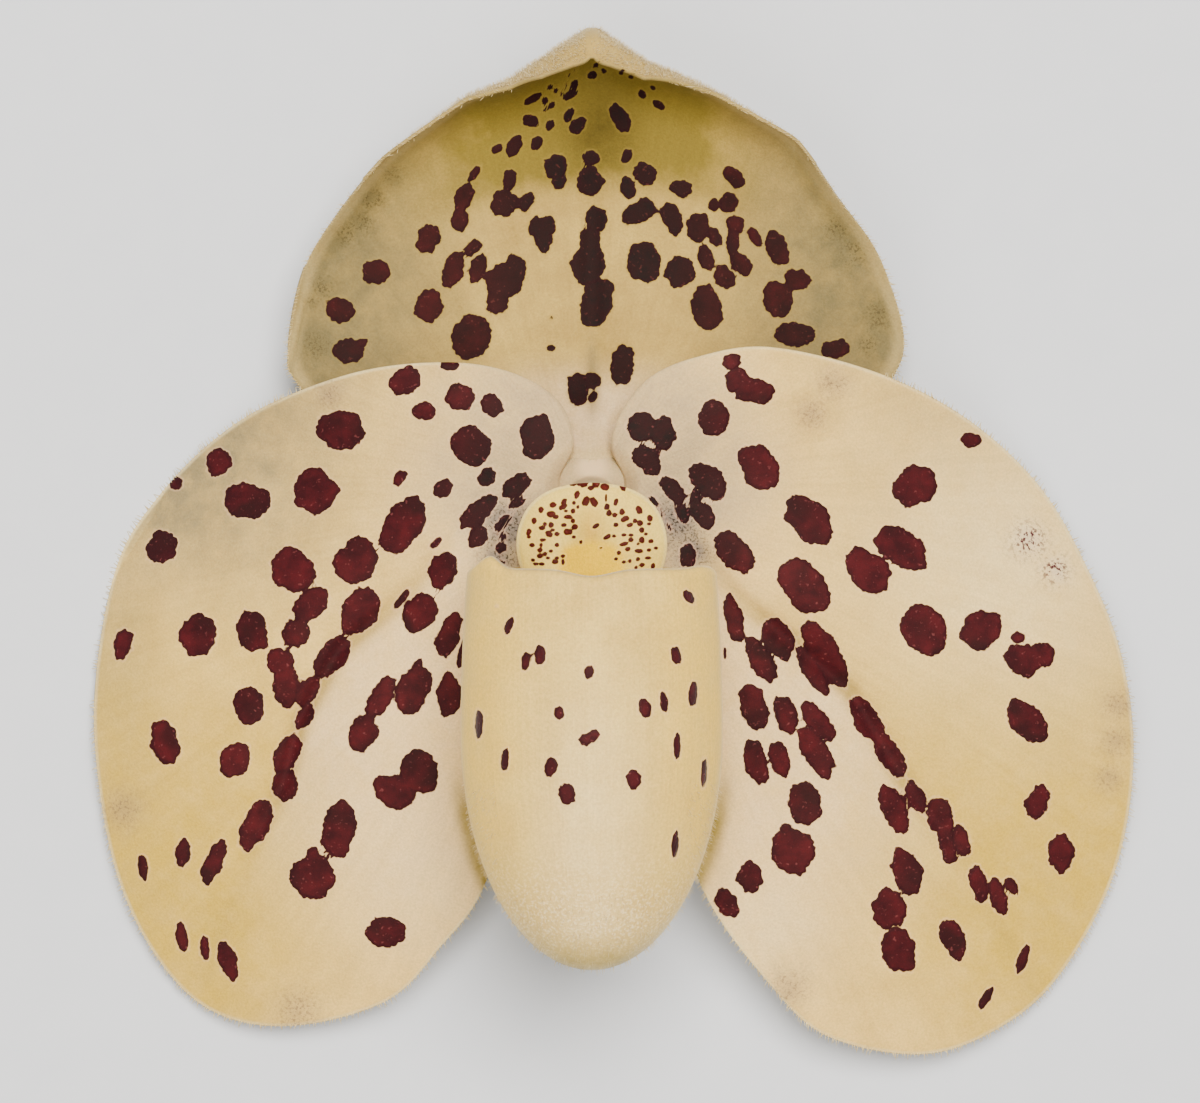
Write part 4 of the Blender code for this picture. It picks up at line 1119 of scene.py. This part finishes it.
# Their uneven edges make small dots look smaller, so each is drawn this much larger
STAMINODE_DOT_SPREAD = 1.15
STAMINODE_DOTS = (
    (562, 484, 6, 4, 20), (573, 484, 6, 4, 0), (583, 483, 10, 8, 10), (591, 488, 6, 4, 0),
    (596, 483, 9, 7, 90), (605, 487, 8, 6, -20), (623, 486, 9, 5, 100), (577, 495, 8, 5, 70),
    (586, 501, 9, 6, 70), (594, 502, 9, 6, 110), (616, 502, 7, 4, 70), (607, 507, 6, 5, 60),
    (564, 502, 7, 5, 70), (553, 505, 6, 5, 0), (574, 503, 4, 4, 0), (563, 507, 8, 5, 30),
    (541, 510, 6, 5, 90), (573, 511, 5, 4, 90), (551, 514, 8, 6, 0), (556, 517, 5, 4, 0),
    (566, 511, 4, 3, 0), (568, 517, 8, 4, 0), (573, 521, 4, 4, 0), (534, 521, 6, 5, 90),
    (545, 524, 4, 4, 0), (551, 525, 5, 5, 0), (564, 525, 5, 4, 0), (575, 527, 6, 5, 20),
    (542, 528, 6, 4, 0), (529, 532, 6, 5, 70), (529, 537, 4, 3, 0), (549, 534, 7, 5, -40),
    (557, 534, 5, 4, 0), (553, 530, 4, 3, 0), (568, 532, 8, 6, 0), (574, 537, 4, 3, 0),
    (581, 542, 4, 3, 90), (543, 540, 6, 3, 0), (532, 545, 5, 4, 0), (557, 545, 4, 4, 0),
    (541, 545, 4, 3, 90), (540, 550, 5, 4, 0), (545, 554, 4, 4, 0), (551, 551, 4, 3, 0),
    (540, 556, 6, 4, 0), (548, 558, 4, 3, 0), (557, 558, 4, 3, 0), (563, 556, 4, 3, 0), (555, 562, 6, 4, 0),
    (563, 562, 6, 3, 90), (533, 560, 4, 3, 0), (536, 564, 5, 3, 0), (542, 564, 5, 3, 0),
    (639, 510, 8, 6, 115), (622, 512, 6, 5, 90), (609, 513, 6, 5, 80), (615, 515, 5, 4, 0),
    (625, 519, 8, 5, 20), (635, 521, 4, 4, 0), (640, 523, 6, 5, 0), (650, 518, 6, 5, 80),
    (649, 524, 4, 3, 0), (630, 525, 6, 4, 20), (616, 525, 5, 4, 0), (642, 530, 5, 5, 0),
    (646, 534, 4, 3, 0), (607, 537, 8, 4, 30), (614, 536, 4, 3, 0), (624, 535, 5, 3, 0),
    (631, 535, 5, 3, 0), (596, 526, 7, 4, 35), (642, 540, 6, 5, 90), (651, 541, 5, 4, 0),
    (631, 540, 5, 4, 0), (624, 544, 8, 4, 15), (638, 544, 3, 3, 0), (628, 549, 5, 4, 0),
    (619, 553, 4, 4, 0), (656, 548, 4, 3, 0), (649, 550, 4, 3, 0), (639, 551, 8, 4, 0), (638, 559, 4, 4, 0),
    (648, 558, 6, 3, 0), (630, 561, 4, 3, 90), (624, 562, 4, 3, 0), (642, 565, 5, 4, 0),
    (653, 566, 5, 4, 90), (636, 568, 4, 3, 90), (616, 559, 4, 3, 0), (578, 507, 4, 3, 90),
    (601, 548, 3, 2, 0), (606, 498, 7, 2, 90),
)


def staminode_surface(plan, margin):
    x, y = plan.T
    height = STAMINODE_HEIGHT - STAMINODE_CROWN * (x / STAMINODE_HALF_WIDTH) ** 2
    height -= 0.05 * (y - STAMINODE_CENTRE[1]) ** 2
    height += 0.4 * np.exp(-((x / 0.95) ** 2) - ((y + 2.6) / 1.3) ** 2)
    height -= 0.25 * np.exp(-((abs(x) - 1.9) ** 2)) * smooth_step(-7.0, -5.0, y) * smooth_step(-1, -3, y)
    height -= 0.25 * (1 - np.clip(margin / 0.5, 0, 1)) ** 2
    return np.column_stack((x, y, height))


def staminode_layers(plan, points):
    x, y = plan.T
    wider = np.array((1, 1, STAMINODE_DOT_SPREAD, STAMINODE_DOT_SPREAD, 1))
    dots = np.array(STAMINODE_DOTS) * wider
    return {
        **spot_layers(as_seen(points), dots, 13),
        "yellow": smooth_step(-3.2, -4.6, y + 0.12 * x**2) * smooth_step(2.7, 1.6, abs(x)),
        "pale": np.exp(-((x / 0.95) ** 2) - ((y + 2.7) / 1.7) ** 2),
        "veins": np.column_stack((np.degrees(np.arctan2(x, y + 9)), np.hypot(x, y))),
    }


# Glossy staminode flesh: cream with a clear yellow tip and small red-brown dots
DOT_BROWN = {**MAROON, "deep": "#42100c", "bright": "#5e1a12", "rim": "#320c0a", "halo": "#e9c97e"}
staminode_face = tissue(
    "glossy_staminode_face", ("#e2ca6a", "#d6bb56"),
    (("pale", "#bf9b3c", 0.8), ("yellow", "#e2bc00", 1.6), ("rim", "#ecd896", 0.7)),
    DOT_BROWN, roughness=0.42, grain=0.14,
)
staminode_back = tissue(
    "glossy_staminode_back", ("#e0c888", "#d4b870"), (("yellow", "#d8b650", 0.6),), roughness=0.42
)
staminode_outline = Outline(STAMINODE_CENTRE, STAMINODE_OUTLINE)
staminode = piece_from(
    blade_mesh(
        "staminode_shield", staminode_outline, staminode_surface, 110, STAMINODE_THICKNESS, staminode_layers
    ),
    staminode_face, staminode_back,
)
thicken(staminode, STAMINODE_THICKNESS)
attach(staminode, "root")
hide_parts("staminode")


# The anthers
# Two fertile anthers sit at the sides of the column, each a two-lobed bead of sticky yellow pollen on a
# short stub of the column's flesh.
ANTHER_AT = (3.05, -1.6, 15.6)
ANTHER_RADII = np.array((0.9, 1.25, 1.1))
LOBE_SHARE = (0.95, 0.62, 0.97)
LOBE_OFFSET = 0.48

# Sticky pollen: amber and granular, with a wet shine
pollen = tissue(
    "sticky_pollen", ("#e0b23c", "#c98f24"), (), roughness=0.3, grain=0.12, softness=0.3, sheen=0.0
)
for side, turn in (("left", -1), ("right", 1)):
    centre = np.array((turn * ANTHER_AT[0], ANTHER_AT[1], ANTHER_AT[2]))
    bm = bmesh.new()
    for lobe in (-1, 1):
        add_ball(bm, centre + (0.0, LOBE_OFFSET * lobe, 0.0), ANTHER_RADII * LOBE_SHARE, 28, 20)
    add_ball(bm, centre - (0.25 * turn, 0.0, 0.0), (0.6, 0.5, 0.6), 20, 14)
    bmesh.ops.recalc_face_normals(bm, faces=bm.faces)
    anther = piece_from(mesh_from(bm, f"anther_{side}_pollen"), pollen)
    grow_together(anther, 0.09)
    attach(anther, "root")
    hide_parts(f"anther_{side}")


# The ovary
# The long ribbed ovary carries the flower and bends up to the heart. It is green flesh flushed purple
# along its ribs and furred with short hairs.
OVARY_TOP_HEIGHT = 8.0
OVARY_BEND_RADIUS = 4.5
OVARY_BASE_Y = -24.2
OVARY_BASE_HEIGHT = 2.9
OVARY_RIBS = 6
OVARY_RIB_RISE = 0.06
OVARY_RADII = ((0.0, 1.6), (0.25, 1.85), (0.6, 2.1), (0.88, 2.15), (1.0, 2.8))


def ovary_height(y):
    """Height of the ovary's middle line where it runs level, rising slightly from its base."""
    level = OVARY_TOP_HEIGHT - OVARY_BEND_RADIUS
    share = (y - OVARY_BASE_Y) / (-OVARY_BEND_RADIUS - OVARY_BASE_Y)
    return OVARY_BASE_HEIGHT + (level - OVARY_BASE_HEIGHT) * np.minimum(1.0, share)


ovary_line = [(0.0, y, ovary_height(y)) for y in np.linspace(OVARY_BASE_Y, -OVARY_BEND_RADIUS, 12)[:-1]]
for turned in np.linspace(0, math.pi / 2, 9):
    y = -OVARY_BEND_RADIUS * (1 - math.sin(turned))
    ovary_line.append((0.0, y, OVARY_TOP_HEIGHT - OVARY_BEND_RADIUS * math.cos(turned)))
ovary_radii = np.interp(np.linspace(0, 1, len(ovary_line)), *zip(*OVARY_RADII))


def stalk_layers(bm, ribs):
    """Gives a stalk's skin its rib crests and its length, which its material reads."""
    x, y, height = (np.array([vert.co for vert in bm.verts], float) / MM - HEART).T
    turned = np.arctan2(height - ovary_height(np.minimum(y, -OVARY_BEND_RADIUS)), x)
    veins = np.column_stack((np.degrees(turned) * 0.6, -y))
    write_layers(bm, {"crest": 0.5 + 0.5 * np.cos(ribs * turned), "veins": veins})


def stalk_hairs(name, line, radii, count, seed, finish, longest=0.55):
    """Short hairs standing all round a stalk."""
    dice = np.random.default_rng(seed)
    at, forward, radius = follow(line, radii, dice.uniform(0, 1, count), 0.3)
    outwards = ways_out(forward, dice.uniform(0, 2 * math.pi, count))
    roots = at + outwards * (radius * 0.98)[:, None]
    ways = unit(outwards + dice.normal(0, 0.25, roots.shape))
    lengths = dice.uniform(0.25, longest, count)
    clear = roots[:, 2] + ways[:, 2] * lengths > 0.05
    return piece_from(hair_mesh(name, roots[clear], ways[clear], lengths[clear], 0.03), finish)


bm = bmesh.new()
add_stalk(bm, ovary_line, ovary_radii, 72, 96, OVARY_RIBS, OVARY_RIB_RISE)
bmesh.ops.recalc_face_normals(bm, faces=bm.faces)
stalk_layers(bm, OVARY_RIBS)
# Downy green stem skin: dull leaf green, purple along the ribs, matt under its hairs
stem_skin = tissue(
    "downy_stem_skin", ("#6d7a3c", "#596a33"), (("crest", "#6b4a45", 0.55),),
    roughness=0.6, sheen=0.3, grain=0.2,
)
# Purple stem hair: darker than the ovary's white hairs
stem_hair = hair_finish("purple_stem_hair", "#c9b4b0", "#8a6066")
ovary = piece_from(mesh_from(bm, "ovary_skin"), stem_skin)
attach(ovary, "root")
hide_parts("ovary")
ovary_hairs = stalk_hairs("ovary_hairs", ovary_line[:-2], ovary_radii[:-2], 1500, 41, white_hair)
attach(ovary_hairs, "root")


# The bract
# A small pointed leaf wrapped round the base of the ovary. It is thin green tissue, finely spotted with
# purple, and grows from the top of the stalk.
BRACT_BASE_Y = -24.9
BRACT_CLEARANCE = 0.4
BRACT_THICKNESS = 0.6
BRACT_CENTRE = (0.0, 6.5)
BRACT_OUTLINE = (
    (0.0, 0.0), (3.2, 0.3), (5.2, 3.0), (5.6, 6.5), (4.2, 10.5), (1.8, 13.8), (0.0, 15.0), (-1.8, 13.8),
    (-4.2, 10.5), (-5.6, 6.5), (-5.2, 3.0), (-3.2, 0.3),
)


def bract_surface(plan, margin):
    """The bract is wrapped round the base of the ovary from below."""
    across, along = plan.T
    y = BRACT_BASE_Y + along
    share = np.maximum(0.0, (y - OVARY_BASE_Y) / -OVARY_BASE_Y)
    radius = np.interp(share, *zip(*OVARY_RADII)) * (1 + OVARY_RIB_RISE) + BRACT_CLEARANCE
    turned = across / radius
    return np.column_stack((radius * np.sin(turned), y, ovary_height(y) - radius * np.cos(turned)))


def bract_layers(plan, points):
    dots = np.random.default_rng(51)
    across, along = PHOTO_HEART
    places = [
        (across + dots.uniform(-70, 70), along - dots.uniform(6, 200), dots.uniform(3, 8), 3, 90)
        for _ in range(90)
    ]
    return {
        **spot_layers(plan, places, 53),
        "veins": np.column_stack((plan[:, 0] * 9, plan[:, 1])),
    }


# Thin bract leaf: yellow-green, with fine purple-brown dots
BRACT_BROWN = {**MAROON, "deep": "#4a2a2a", "bright": "#5b3634", "halo": "#8b9655"}
bract_green = tissue(
    "thin_bract_leaf", ("#7d8b48", "#6b7a3c"), (), BRACT_BROWN, spot_strength=0.8, softness=0.2
)
bract_outline = Outline(BRACT_CENTRE, BRACT_OUTLINE)
bract = piece_from(
    blade_mesh("bract_leaf", bract_outline, bract_surface, 70, BRACT_THICKNESS, bract_layers),
    bract_green, bract_green,
)
thicken(bract, BRACT_THICKNESS * 0.9)
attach(bract, "root")
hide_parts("bract")


# The stalk
# A short cut length of the flower's stalk under the ovary, round and downy, cut square by hand.
SCAPE_LINE = ((0.0, -33.1, 1.8), (0.0, -30.0, 2.25), (0.0, -27.0, 2.65), (0.0, -24.55, 2.85))
SCAPE_RADII = (1.95, 1.8, 1.75, 1.8)
bm = bmesh.new()
globe = add_stalk(bm, SCAPE_LINE, SCAPE_RADII, 48, 60)
for vert in globe:
    vert.co.z = max(vert.co.z, 0.0)
bmesh.ops.recalc_face_normals(bm, faces=bm.faces)
stalk_layers(bm, 3)
scape = piece_from(mesh_from(bm, "scape_skin"), stem_skin)
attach(scape, "root")
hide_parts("scape")
scape_hairs = stalk_hairs("scape_hairs", SCAPE_LINE, SCAPE_RADII, 700, 61, stem_hair, 0.7)
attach(scape_hairs, "root")


# The floor and the light
# A plain pale table under a broad soft light from beyond the top of the flower, with a weaker one from
# its lower left and an even glow all round, all in the same warm white.
floor_bm = bmesh.new()
bmesh.ops.create_grid(floor_bm, x_segments=1, y_segments=1, size=1.5)
floor_finish = bpy.data.materials.new("matt_pale_paper")
floor_finish.use_nodes = True
floor_tree = floor_finish.node_tree
fibre = add_node(floor_tree, "TexNoise", {"Scale": 900.0, "Detail": 4.0})
fibre_tone = add_node(
    floor_tree, "Mix", {0: fibre.outputs["Fac"], 6: linear("#cfdaf2"), 7: linear("#c9d4ee")}, data_type="RGBA"
)
floor_tree.links.new(fibre_tone.outputs[2], floor_tree.nodes["Principled BSDF"].inputs["Base Color"])
floor_tree.nodes["Principled BSDF"].inputs["Roughness"].default_value = 0.9
floor_piece = piece_from(mesh_from(floor_bm, "floor"), floor_finish)

WARM_WHITE = linear("#fff1d7")
world = bpy.data.worlds.new("studio")
bpy.context.scene.world = world
world.use_nodes = True
world.node_tree.nodes["Background"].inputs["Color"].default_value = WARM_WHITE
world.node_tree.nodes["Background"].inputs["Strength"].default_value = 0.42
for name, place, size, power in (
    ("key_light", (0.08, 0.2, 0.7), 0.4, 12.5),
    ("fill_light", (-0.24, -0.3, 0.6), 0.5, 3.0),
):
    lamp = bpy.data.lights.new(name, "AREA")
    lamp.size = size
    lamp.energy = power
    lamp.color = WARM_WHITE[:3]
    light = bpy.data.objects.new(name, lamp)
    light.location = place
    light.rotation_mode = "QUATERNION"
    light.rotation_quaternion = (-Vector(place)).to_track_quat("-Z", "Y")
    bpy.context.scene.collection.objects.link(light)

bpy.context.view_layer.update()
